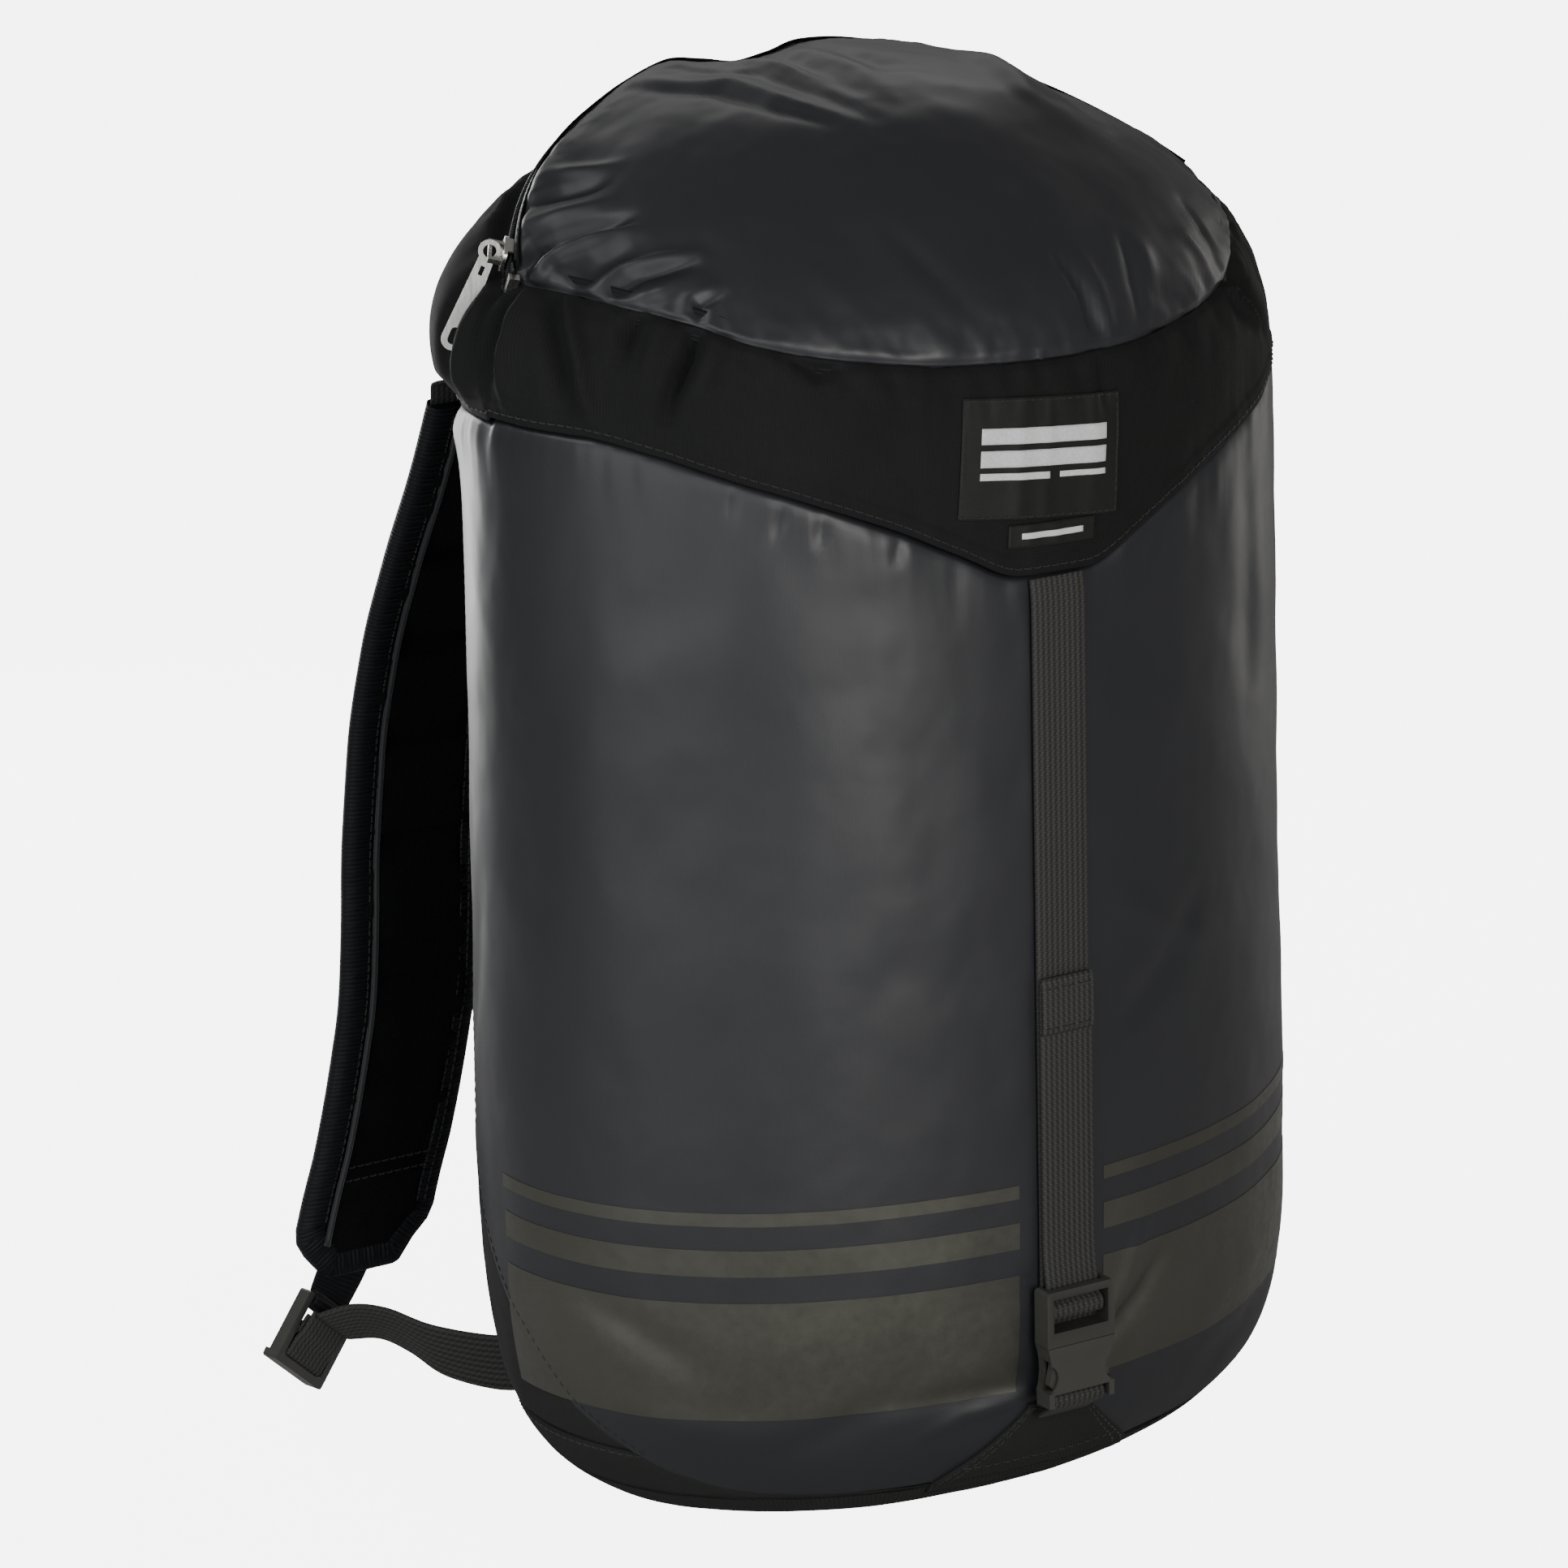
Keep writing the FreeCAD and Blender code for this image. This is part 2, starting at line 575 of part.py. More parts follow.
def main():
    sack_panels()
    zip_parts()
    slider()
    zip_pull()
    front_strap()
    strap_tail()
    buckle_male()
    save("wing_right", wing(1))
    save("wing_left", wing(-1))
    buckle_female()
    buckle_loop()
    base_tab()
    label("label_patch", -3, 352, 58, 38, -5.5, 0.15, 1.0)
    label("size_tag", -1, 327.8, 32, 7.5, -2.5, 0.15, 0.8)
    layers = shoulder_strap()
    for layer, shape in layers.items():
        both_sides("strap_" + layer, shape)
    both_sides("strap_anchor", strap_anchor())
    both_sides("ladder_lock", ladder_lock())
    both_sides("lock_web", lock_web())
    both_sides("strap_stub", stub_web())
    both_sides("lower_web", lower_web())
    both_sides("lower_anchor", lower_anchor())
    save("haul_loop", haul_loop())
    both_sides("haul_anchor", haul_anchor())


main()
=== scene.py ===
import bpy
import math
import numpy as np
from bpy.props import FloatProperty, FloatVectorProperty, PointerProperty
from mathutils import Matrix, Vector, noise
from mathutils.bvhtree import BVHTree


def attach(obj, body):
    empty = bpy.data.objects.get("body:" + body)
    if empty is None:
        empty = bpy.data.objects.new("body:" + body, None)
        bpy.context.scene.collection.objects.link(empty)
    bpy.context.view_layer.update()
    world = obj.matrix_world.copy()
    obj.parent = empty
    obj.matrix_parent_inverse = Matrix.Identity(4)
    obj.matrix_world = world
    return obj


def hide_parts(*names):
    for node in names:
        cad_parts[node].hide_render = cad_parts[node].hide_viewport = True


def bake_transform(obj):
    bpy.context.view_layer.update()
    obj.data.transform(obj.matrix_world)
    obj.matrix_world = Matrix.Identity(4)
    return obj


bl_info = {
    "name": "Compression Sack",
    "version": (1, 0, 0),
    "blender": (4, 5, 0),
    "location": "View3D > Sidebar > Sack",
    "description": "Builds a stuffed compression sack with its fabric, webbing, zip and shoulder straps",
    "category": "Object",
}

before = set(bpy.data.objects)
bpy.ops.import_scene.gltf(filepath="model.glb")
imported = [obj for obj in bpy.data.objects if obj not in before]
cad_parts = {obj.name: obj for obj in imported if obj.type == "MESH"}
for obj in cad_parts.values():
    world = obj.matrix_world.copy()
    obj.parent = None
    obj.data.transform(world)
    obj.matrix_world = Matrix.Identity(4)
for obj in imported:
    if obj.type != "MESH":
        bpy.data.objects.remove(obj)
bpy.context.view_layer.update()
MM = 0.001

# ---------------------------------------------------------------- shape of the stuffed sack (mm)
# Height, half width, half depth, centre shift towards the back.
SECTIONS = [
    (0, 106, 69, 0), (3, 112, 75, 0), (8, 119, 82, 0), (16, 127, 89, 0), (28, 134, 95, 0),
    (45, 139, 99.5, 0), (75, 142.5, 102.5, 0), (120, 143.5, 103.5, 0), (200, 142, 103.5, 0),
    (320, 141, 103, 0), (370, 140, 102, 1), (385, 137.5, 100.3, 3.2), (396, 133, 97.3, 5.2),
    (405, 127, 93.3, 7.7), (415, 116.5, 87.3, 11.2), (425, 103, 80, 14.5), (434, 88.5, 71.5, 18.5),
    (441, 76, 64, 21.2), (447, 63, 55, 24.5), (452, 42, 38, 25.5), (456, 1, 1, 26),
]
CROWN = 456.0
LID_HEART = np.array([0, 12, 372.0])    # the lid's cloth is pushed out from here
YOKE_FRONT = [(0, 315), (12, 315), (34, 324), (53, 333), (76, 342), (100, 350.5), (117, 357),
              (132, 361), (146, 361)]
YOKE_BACK = [(0, 350), (110, 352), (132, 357), (146, 361)]
DOME_SEAM = [(-99, 381.8), (-95, 382.7), (-89, 385), (-80, 388), (-70, 392), (-55, 398.5),
             (-38, 402.5), (-12.5, 405.5), (8, 405.5)]
SEAM_TILT = 0.03
BACK_SEAM = [(10.9, -85), (11.5, -75), (14.5, -59), (22.5, -46), (32, -34), (43.7, -20), (61, -4),
             (69.5, 5), (80, 16), (93, 28), (108, 39), (120, 45.5), (135, 47.5), (150, 48), (420, 48)]
BASE_TOP = 28.0
FRONT_LOW = 11.3                # height of the front cloth's lowest edge
SIDE_SEAM_LOW = 10.9            # height where the side seams begin
SIDE_SEAM_TOP = 360             # height where they end, under the yoke
YOKE_HALF = 141.0               # half width of the sack under the yoke
ZIP_END = np.array([127, 8, 405.0])
ZIP_TOP = np.array([0, 77.5, 447.5])
ZIP_EDGE = 4.8                  # from the middle of the zip to the edge of the cloth
ZIP_CLOTH_LIFT = 0.4            # of that edge above the middle of the coil
# How far the zip waves up and down from its arc: angle along the arc, lift.
ZIP_WAVE = [(-66, 0), (-30, 0), (-20, 1.2), (-12, 2.6), (-7, -1.5), (-2.5, -5.5), (3, -3.2), (9, 2.2),
            (15, 3.6), (25, 3.0), (40, 2.5), (52, 1.0), (66, 0)]

# ---------------------------------------------------------------- folds in the cloth (mm)
# Points along the fold, height (minus for a groove), half width.
LID_FOLDS = [
    ([(-100, 35, 427), (-93, 22, 432), (-86, 12, 436)], 1.7, 3.2),
    ([(-112, 26, 420), (-102, 18, 427), (-92, 8, 432)], -2.4, 3.4),
    ([(-116, 18, 417), (-107, 9, 423), (-97, 0, 428)], 1.6, 3.4),
    ([(-122, 9, 411), (-114, 3, 418), (-105, -5, 422), (-97, -13, 424)], -3.6, 3.6),
    ([(-125, -1, 407), (-117, -3, 413), (-110, -8, 418), (-99, -15, 423)], 2.6, 2.8),
    ([(-128, 4, 405), (-121, 4, 411), (-116, 4, 415)], -2.8, 3.5),
    ([(-120, -17, 409), (-112, -18, 414), (-102, -24, 418)], -1.6, 5.0),
    ([(-117, -24, 407), (-108, -27, 413), (-96, -36, 416), (-89, -41, 417)], 2.0, 2.6),
    ([(-115, -31, 406), (-105, -34, 411), (-92, -41, 415)], -2.2, 2.6),
    ([(-110, -38, 405), (-101, -43, 408), (-92, -47, 411)], 1.5, 2.8),
    ([(-100, -52, 402), (-97, -49, 406), (-91, -51, 409)], 1.4, 2.2),
    ([(-99, -56, 399), (-96, -53, 404), (-90, -55, 407)], -2.0, 2.2),
    ([(-58, 64, 443), (-41, 24, 452), (-38, 1, 452), (-28, -22, 448)], -1.5, 3.6),
    ([(-52, 66, 444), (-33, 28, 453), (-30, -4, 452), (-22, -24, 447)], 1.4, 3.4),
    ([(-40, 70, 446), (-24, 34, 454), (-20, 2, 453), (-14, -26, 447)], -1.3, 3.2),
    ([(-26, 74, 447), (-14, 40, 455), (-10, 8, 454)], 1.6, 3.8),
    ([(-8, 76, 447), (-4, 47, 455), (-8, 18, 455), (-8, -8, 452)], -1.6, 3.6),
    ([(6, 76, 447), (4, 45, 455), (4, 12, 455), (0, -16, 450)], 1.2, 4.4),
    ([(20, 74, 446), (14, 40, 455), (12, 8, 454)], -1.1, 4.2),
    ([(66, 50, 440), (58, 16, 448), (52, -16, 445), (60, -28, 438)], 2.2, 7.0),
    ([(84, 40, 431), (78, 4, 437), (74, -24, 430)], -1.5, 7.0),
    ([(17, -80, 410), (21, -89, 399), (22, -96, 388)], -1.5, 1.9),
    ([(26, -79, 410), (28, -88, 399), (28, -95, 386)], 0.9, 2.4),
    ([(46, -74, 410), (43, -85, 398), (42, -91, 388)], -1.4, 2.0),
    ([(53, -74, 407), (51, -83, 396)], 0.9, 3.2),
    ([(66, -66, 406), (75, -66, 404), (80, -70, 397)], 1.3, 2.4),
    ([(84, -52, 411), (86, -60, 404), (86, -66, 396)], -1.5, 2.4),
    ([(-34, -66, 421), (-27, -80, 409), (-21, -90, 398)], -1.0, 4.0),
    ([(-62, -62, 410), (-56, -74, 402), (-52, -84, 394)], 0.8, 4.5),
]
YOKE_FOLDS = [
    ([(-99, -56, 400), (-105, -59, 390), (-110, -58, 380), (-113, -58, 372)], -3.2, 2.5),
    ([(-94, -62, 399), (-100, -64, 388), (-106, -64, 378)], 1.5, 3.4),
    ([(-111, -41, 403), (-115, -42, 397), (-119, -43, 388)], -2.4, 2.7),
    ([(-106, -50, 402), (-111, -51, 393), (-116, -51, 384)], 1.2, 3.2),
    ([(-119, -15, 407), (-124, -24, 400), (-127, -33, 388), (-129, -40, 372)], 2.6, 2.7),
    ([(-123, -12, 405), (-129, -20, 396), (-132, -28, 384), (-134, -32, 371)], -2.2, 4.2),
    ([(-125, -3, 405), (-135, -8, 391), (-138, -9, 382), (-140, -10, 372)], 2.2, 3.2),
    ([(-127, 2, 404), (-136, -2, 390), (-139, 0, 376)], -2.4, 3.4),
    ([(-128, 12, 402), (-137, 14, 386), (-141, 16, 368)], 1.8, 3.8),
    ([(-126, 24, 402), (-135, 28, 384), (-138, 30, 368)], -1.8, 4.2),
    ([(-78, -78, 391), (-72, -82, 385), (-65, -85, 388)], -1.8, 3.2),
    ([(22, -96, 384), (22, -99, 374), (22, -101, 364)], -0.9, 2.2),
    ([(84, -66, 403), (85, -71, 394), (92, -72, 383), (106, -68, 370)], 1.8, 2.0),
    ([(90, -60, 403), (93, -66, 392), (101, -66, 381), (113, -61, 370)], -2.8, 4.0),
    ([(108, -46, 402), (116, -46, 390), (124, -42, 376)], -1.4, 4.0),
    ([(124, -4, 404), (134, -6, 390), (138, -8, 374)], 1.8, 3.6),
    ([(120, 30, 404), (130, 34, 388), (134, 36, 372)], -1.6, 5.0),
    ([(60, 78, 425), (66, 84, 400), (68, 88, 375)], -1.5, 7.0),
    ([(-60, 78, 425), (-66, 84, 400), (-68, 88, 375)], -1.5, 7.0),
    ([(10, 92, 430), (4, 98, 404), (0, 102, 376)], 1.3, 8.0),
]
BODY_FOLDS = [
    ([(-97, -72, 349), (-99, -72, 342)], -1.0, 1.6),
    ([(-85, -80, 344), (-87, -80, 335)], -1.1, 1.6),
    ([(-74, -86, 340), (-76, -86, 333)], -0.9, 1.5),
    ([(-52, -95, 331), (-54, -95, 325)], -0.7, 1.5),
    ([(-139, 20, 210), (-137, 26, 180), (-132, 34, 150)], -0.8, 6.0),
    ([(-137, -14, 90), (-126, -45, 75), (-112, -62, 62)], -0.9, 6.0),
    ([(-128, -28, 50), (-110, -55, 40), (-88, -74, 36)], 1.0, 7.0),
    ([(-95, -66, 28), (-76, -80, 38), (-54, -92, 52)], -1.0, 6.5),
    ([(-12, -100, 42), (-34, -98, 38), (-52, -92, 30)], 1.6, 3.0),
    ([(-12, -100, 46), (-36, -99, 46), (-60, -93, 44)], -1.2, 4.5),
    ([(14, -101, 52), (32, -100, 66), (44, -98, 80)], -1.2, 3.6),
    ([(14, -101, 58), (26, -101, 74), (34, -100, 92)], 0.9, 3.6),
    ([(50, -93, 44), (76, -84, 56), (104, -68, 62)], 1.0, 8.0),
    ([(70, -82, 30), (96, -68, 38), (120, -42, 48)], -1.0, 7.0),
    ([(30, -101, 200), (52, -96, 186), (74, -88, 180)], 0.7, 5.0),
    ([(22, -102, 160), (44, -98, 176), (60, -93, 196)], -0.7, 6.0),
    ([(90, -78, 330), (94, -77, 290), (92, -78, 250)], -0.9, 8.0),
]
# Places where the stuffing pushes out or falls in: centre, radius, height.
BULGES = [
    ((132, -18, 26), 46, 4.0), ((132, 45, 388), 30, 5.0), ((-132, 40, 388), 26, 2.5),
    ((-137, 8, 386), 22, 4.5), ((-124, 48, 379), 26, 6.5), ((-112, 56, 410), 30, 5.0),
    ((-4, 74, 452), 22, -4.5), ((58, 40, 448), 34, 2.5), ((-36, 70, 446), 22, 2.0), ((14, 50, 456), 26, 1.5),
]


def smooth_table(rows):
    """A monotone cubic through the rows of a table of (place, value)."""
    xs = np.array([r[0] for r in rows], float)
    ys = np.array([r[1] for r in rows], float)
    h = np.diff(xs)
    d = np.diff(ys) / h
    slopes = np.zeros_like(ys)
    slopes[0] = d[0]
    slopes[-1] = d[-1]
    for i in range(1, len(xs) - 1):
        if d[i - 1] * d[i] > 0:
            w1 = 2 * h[i] + h[i - 1]
            w2 = h[i] + 2 * h[i - 1]
            slopes[i] = (w1 + w2) / (w1 / d[i - 1] + w2 / d[i])

    def at(x):
        x = np.clip(np.asarray(x, float), xs[0], xs[-1])
        k = np.clip(np.searchsorted(xs, x) - 1, 0, len(h) - 1)
        t = (x - xs[k]) / h[k]
        return (ys[k] * (1 + 2 * t) * (1 - t) ** 2 + h[k] * slopes[k] * t * (1 - t) ** 2
                + ys[k + 1] * t * t * (3 - 2 * t) + h[k] * slopes[k + 1] * t * t * (t - 1))

    return at


WIDE_2 = smooth_table([(z, a * a) for z, a, b, c in SECTIONS])
DEEP_2 = smooth_table([(z, b * b) for z, a, b, c in SECTIONS])
SHIFT = smooth_table([(z, c) for z, a, b, c in SECTIONS])
YOKE_LOW_FRONT = smooth_table(YOKE_FRONT)
YOKE_LOW_BACK = smooth_table(YOKE_BACK)
DOME_HEIGHT = smooth_table(DOME_SEAM)
SEAM_DEPTH = smooth_table(BACK_SEAM)
ZIP_LIFT = smooth_table(ZIP_WAVE)


def ring_point(theta, z):
    """Point of the skin at an angle from the front towards +X, and a height."""
    a = np.sqrt(np.maximum(WIDE_2(z), 1))
    b = np.sqrt(np.maximum(DEEP_2(z), 1))
    z = np.broadcast_to(np.asarray(z, float), np.shape(a + theta))
    return np.stack([a * np.sin(theta), SHIFT(z) - b * np.cos(theta), z], -1)


def angle_of(p):
    """Angle round the sack of points near its skin."""
    a = np.sqrt(WIDE_2(p[..., 2]))
    b = np.sqrt(DEEP_2(p[..., 2]))
    return np.arctan2(p[..., 0] / a, (SHIFT(p[..., 2]) - p[..., 1]) / b)


ZIP_RISE = np.linalg.norm((ZIP_TOP - ZIP_END)[1:])
ZIP_DIR = np.array([0, ZIP_TOP[1] - ZIP_END[1], ZIP_TOP[2] - ZIP_END[2]]) / ZIP_RISE
ZIP_NORMAL = np.array([0, -ZIP_DIR[2], ZIP_DIR[1]])
ZIP_RADIUS = (ZIP_END[0] ** 2 + ZIP_RISE ** 2) / (2 * ZIP_RISE)
ZIP_CENTRE = ZIP_TOP - ZIP_DIR * ZIP_RADIUS
ZIP_HALF = math.degrees(math.asin(ZIP_END[0] / ZIP_RADIUS))


def zip_point(degrees, lift, side):
    """Point near the zip: angle along its arc, height above it, distance towards the lid."""
    a = np.radians(np.asarray(degrees, float))[..., None]
    radial = np.array([1.0, 0, 0]) * np.sin(a) + ZIP_DIR * np.cos(a)
    up = ZIP_RADIUS + np.asarray(lift, float)[..., None] + ZIP_LIFT(degrees)[..., None]
    return ZIP_CENTRE + radial * up + ZIP_NORMAL * np.asarray(side, float)[..., None]


def dome_seam(count):
    """The seam between lid and yoke from the left end to the right end of the zip."""
    y = np.concatenate([np.linspace(8, -60, 40), np.linspace(-61, -95, 50), np.linspace(-95.3, -98.6, 30)])
    z = DOME_HEIGHT(y)
    halves = []
    for side in (-1, 1):
        level = z.copy()
        for _ in range(4):
            a2, b2, c = WIDE_2(level), DEEP_2(level), SHIFT(level)
            x = side * np.sqrt(np.maximum(a2 * (1 - (y - c) ** 2 / b2), 0))
            level = z - SEAM_TILT * x * np.clip(1 - (x / 127) ** 2, 0, 1)
        halves.append(np.stack([x, y, level], -1))
    line = np.concatenate([halves[0], halves[1][::-1]])
    order = angle_of(line).argsort(kind="stable")
    return along(line[order], count)


def arc_length(line):
    """Length along a line up to each of its points."""
    return np.concatenate([[0], np.cumsum(np.linalg.norm(np.diff(line, axis=0), axis=1))])


def sample(at, s, line):
    """Values of a line's columns at lengths along it."""
    return np.stack([np.interp(at, s, column) for column in line.T], -1)


def unit(ways):
    """Directions scaled to length 1."""
    return ways / np.linalg.norm(ways, axis=-1, keepdims=True)


def along(line, count):
    """The line again, with evenly spaced points."""
    s = arc_length(line)
    return sample(np.linspace(0, s[-1], count), s, line)


# ---------------------------------------------------------------- relief of the cloth
# Distances from a seam (mm) in which each kind of relief grows from nothing.
CRINKLE_FADE, FOLD_FADE, BULGE_FADE, ZIP_FADE = 6, 3, 11, 9
GATHER_AT, GATHER_REACH = 4, 13
STITCH_INSET = 2.4              # from a hem to its row of stitches
PRINT_LIFT = 0.14


def fold_height(points, folds):
    """Height of a table of folds and grooves at each point."""
    total = np.zeros(len(points))
    for line, height, width in folds:
        line = np.array(line, float)
        lengths = np.linalg.norm(np.diff(line, axis=0), axis=1)
        starts = np.concatenate([[0], np.cumsum(lengths)])
        near = np.abs(points - line.mean(0)).max(1) < starts[-1] + 4 * width + 12
        sub = points[near]
        best = np.full(len(sub), 1e9)
        where = np.zeros(len(sub))
        for k, length in enumerate(lengths):
            d = (line[k + 1] - line[k]) / length
            t = np.clip((sub - line[k]) @ d, 0, length)
            dist = np.linalg.norm(sub - line[k] - t[:, None] * d, axis=1)
            closer = dist < best
            best = np.where(closer, dist, best)
            where = np.where(closer, starts[k] + t, where)
        fade = np.clip(np.sin(np.pi * (0.06 + 0.88 * where / starts[-1])), 0, 1) ** 0.6
        total[near] += height * fade * np.exp(-(best / width) ** 2)
    return total


def bulge_height(points):
    """Height of the stuffing that pushes out or falls in at each point."""
    total = np.zeros(len(points))
    for centre, radius, height in BULGES:
        d2 = ((points - np.array(centre, float)) ** 2).sum(1)
        total += height * np.exp(-d2 / radius ** 2)
    return total


def ripple(points, scale, seed):
    """Smooth noise with its own stretch in each direction, about -1 to 1."""
    scale = np.array(scale, float)
    offset = Vector((seed * 17.3, seed * 5.1, seed * 9.7))
    return np.array([noise.noise(Vector(p) + offset) for p in points / scale])


def grid_normals(grid, closed):
    """Outward directions of a grid of points; a closed grid goes all the way round."""
    if closed:
        across = np.roll(grid, -1, axis=1) - np.roll(grid, 1, axis=1)
    else:
        across = np.gradient(grid, axis=1)
    up = np.gradient(grid, axis=0)
    n = np.cross(across, up)
    return n / np.maximum(np.linalg.norm(n, axis=2, keepdims=True), 1e-9)


def edge_distances(grid):
    """Distance of every grid point from the lower and from the upper edge."""
    step = np.linalg.norm(np.diff(grid, axis=0), axis=2)
    low = np.concatenate([np.zeros((1, grid.shape[1])), np.cumsum(step, axis=0)])
    return low, low[-1] - low


def smoothstep(x):
    """0 below 0, 1 above 1 and a smooth step between them."""
    x = np.clip(x, 0, 1)
    return x * x * (3 - 2 * x)


# ---------------------------------------------------------------- mesh helpers
def mesh_piece(name, points, faces, uv=None, smooth=True):
    """A mesh object from points in millimetres; uv holds one pair for each point."""
    mesh = bpy.data.meshes.new(name)
    mesh.from_pydata((np.asarray(points, float) * MM).tolist(), [], faces)
    if uv is not None:
        layer = mesh.uv_layers.new(name="cloth")
        index = np.zeros(len(mesh.loops), np.int32)
        mesh.loops.foreach_get("vertex_index", index)
        layer.data.foreach_set("uv", np.asarray(uv, float)[index].astype(np.float32).ravel())
    if smooth:
        mesh.polygons.foreach_set("use_smooth", [True] * len(mesh.polygons))
    mesh.update()
    made = bpy.data.objects.new(name, mesh)
    bpy.context.scene.collection.objects.link(made)
    return made


def grid_faces(rows, cols, closed=False):
    """Quads of a grid of points, row by row."""
    last = cols if closed else cols - 1
    return [(r * cols + c, r * cols + (c + 1) % cols, (r + 1) * cols + (c + 1) % cols, (r + 1) * cols + c)
            for r in range(rows - 1) for c in range(last)]


def tube_faces(rows, sides):
    """Faces of a closed tube of rings, with its two ends."""
    ends = [tuple(range(sides))[::-1], tuple((rows - 1) * sides + i for i in range(sides))]
    return grid_faces(rows, sides, True) + ends


def grid_uv(grid):
    """Cloth coordinates: one unit is 10 mm along the threads."""
    across = np.linalg.norm(np.diff(grid, axis=1), axis=2).mean(0)
    up = np.linalg.norm(np.diff(grid, axis=0), axis=2).mean(1)
    u = np.concatenate([[0], np.cumsum(across)]) / 10
    v = np.concatenate([[0], np.cumsum(up)]) / 10
    return np.stack(np.meshgrid(u, v), -1)


def grid_piece(name, grid, closed=False):
    """A mesh object from a grid of points, with its cloth coordinates."""
    rows, cols = grid.shape[:2]
    return mesh_piece(name, grid.reshape(-1, 3), grid_faces(rows, cols, closed), grid_uv(grid).reshape(-1, 2))


def thicken(piece, thick, offset=-1.0):
    """Gives a sheet its thickness, inwards from its outer face."""
    solid = piece.modifiers.new("cloth thickness", "SOLIDIFY")
    solid.thickness = thick * MM
    solid.offset = offset
    return piece


def dress(piece, key, body=None, nodes=()):
    """Gives the piece its material and its place in the moving model; a piece without a body is left
    unattached.
    """
    piece.data.materials.clear()
    piece.data.materials.append(material(key))
    if body:
        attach(piece, body)
    if nodes:
        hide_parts(*nodes)
    return piece


def tube_mesh(line, sides, radius):
    """Points and faces of a closed tube round a line (mm)."""
    line = np.asarray(line, float)
    tangent = unit(np.gradient(line, axis=0))
    helper = np.where(np.abs(tangent[:, 2:3]) < 0.9, [[0, 0, 1.0]], [[1.0, 0, 0]])
    one = unit(np.cross(tangent, helper))
    two = np.cross(tangent, one)
    a = np.arange(sides) * 2 * math.pi / sides
    ring = one[:, None] * np.cos(a)[None, :, None] + two[:, None] * np.sin(a)[None, :, None]
    points = (line[:, None] + ring * radius).reshape(-1, 3)
    return points, tube_faces(len(line), sides)


def join_meshes(name, parts):
    """One mesh object from many (points, faces)."""
    points, faces, start = [], [], 0
    for p, f in parts:
        points.append(p)
        faces += [tuple(i + start for i in face) for face in f]
        start += len(p)
    return mesh_piece(name, np.concatenate(points), faces)


def stitches(name, rows, length, gap, radius=0.26, sink=0.12):
    """Rows of separate stitches; each row is (points, outward directions)."""
    parts = []
    for line, normal in rows:
        line, normal = np.asarray(line, float), np.asarray(normal, float)
        s = arc_length(line)
        count = int(s[-1] / (length + gap))
        for i in range(count):
            at = (i + 0.5) * s[-1] / count + np.array([-0.5, -0.36, 0, 0.36, 0.5]) * length
            lift = np.array([-0.3, 0.55, 1.0, 0.55, -0.3]) * radius - sink
            p, n = sample(at, s, line), sample(at, s, normal)
            parts.append(tube_mesh(p + n * lift[:, None], 5, radius))
    return join_meshes(name, parts)


def sew(name, rows, body="sack", length=None, gap=None, radius=0.26):
    """Rows of stitches in sewing thread; without a body they are left unattached."""
    sizes = bpy.context.scene.sack_sizes
    made = stitches(name, rows, length or sizes.stitch, gap or sizes.stitch_gap, radius)
    return dress(made, "thread", body)


def border_rows(grid, inset, span):
    """Lines a few steps inside the four edges of a grid, with their outward directions."""
    n = grid_normals(grid, False)
    places = [(inset, span), (-inset - 1, span), (span, inset), (span, -inset - 1)]
    return [(grid[at], n[at]) for at in places]


def line_on(grid, closed, from_low=None, from_high=None, first=0, last=None):
    """A line across the grid at a distance from its lower or upper edge, with normals."""
    low = edge_distances(grid)[0]
    normals = grid_normals(grid, closed)
    points, out = [], []
    for c in range(grid.shape[1])[first:last]:
        want = low[-1, c] - from_high if from_low is None else from_low
        points.append(sample(want, low[:, c], grid[:, c]))
        out.append(sample(want, low[:, c], normals[:, c]))
    return np.array(points), np.array(out)


def tree_of(*names):
    """Search tree over the outer faces of finished pieces, in millimetres."""
    points, faces, start = [], [], 0
    for name in names:
        mesh = bpy.data.objects[name].data
        co = np.zeros(len(mesh.vertices) * 3)
        mesh.vertices.foreach_get("co", co)
        points += (co.reshape(-1, 3) / MM).tolist()
        faces += [tuple(i + start for i in p.vertices) for p in mesh.polygons]
        start = len(points)
    return BVHTree.FromPolygons(points, faces)


def front_angle(x, z):
    """Angle of the skin's point on the front that has this x and this height."""
    return math.asin(max(-1, min(1, x / math.sqrt(float(WIDE_2(z))))))


def rear_angle(x, z):
    """The same on the back."""
    return math.pi - front_angle(x, z)


def lay_on(tree, theta, z, lift):
    """Drops a point of the plain skin onto the finished cloth and lifts it off by lift."""
    p = ring_point(theta, z)
    q = ring_point(theta, z + 2.0)
    side = ring_point(theta + 0.01, z)
    n = Vector(np.cross(side - p, q - p)).normalized()
    hit, normal, _, _ = tree.ray_cast(Vector(p) + n * 30, -n, 60)
    if hit is None:
        hit, normal = Vector(p), n
    return np.array(hit + n * lift), np.array(n)


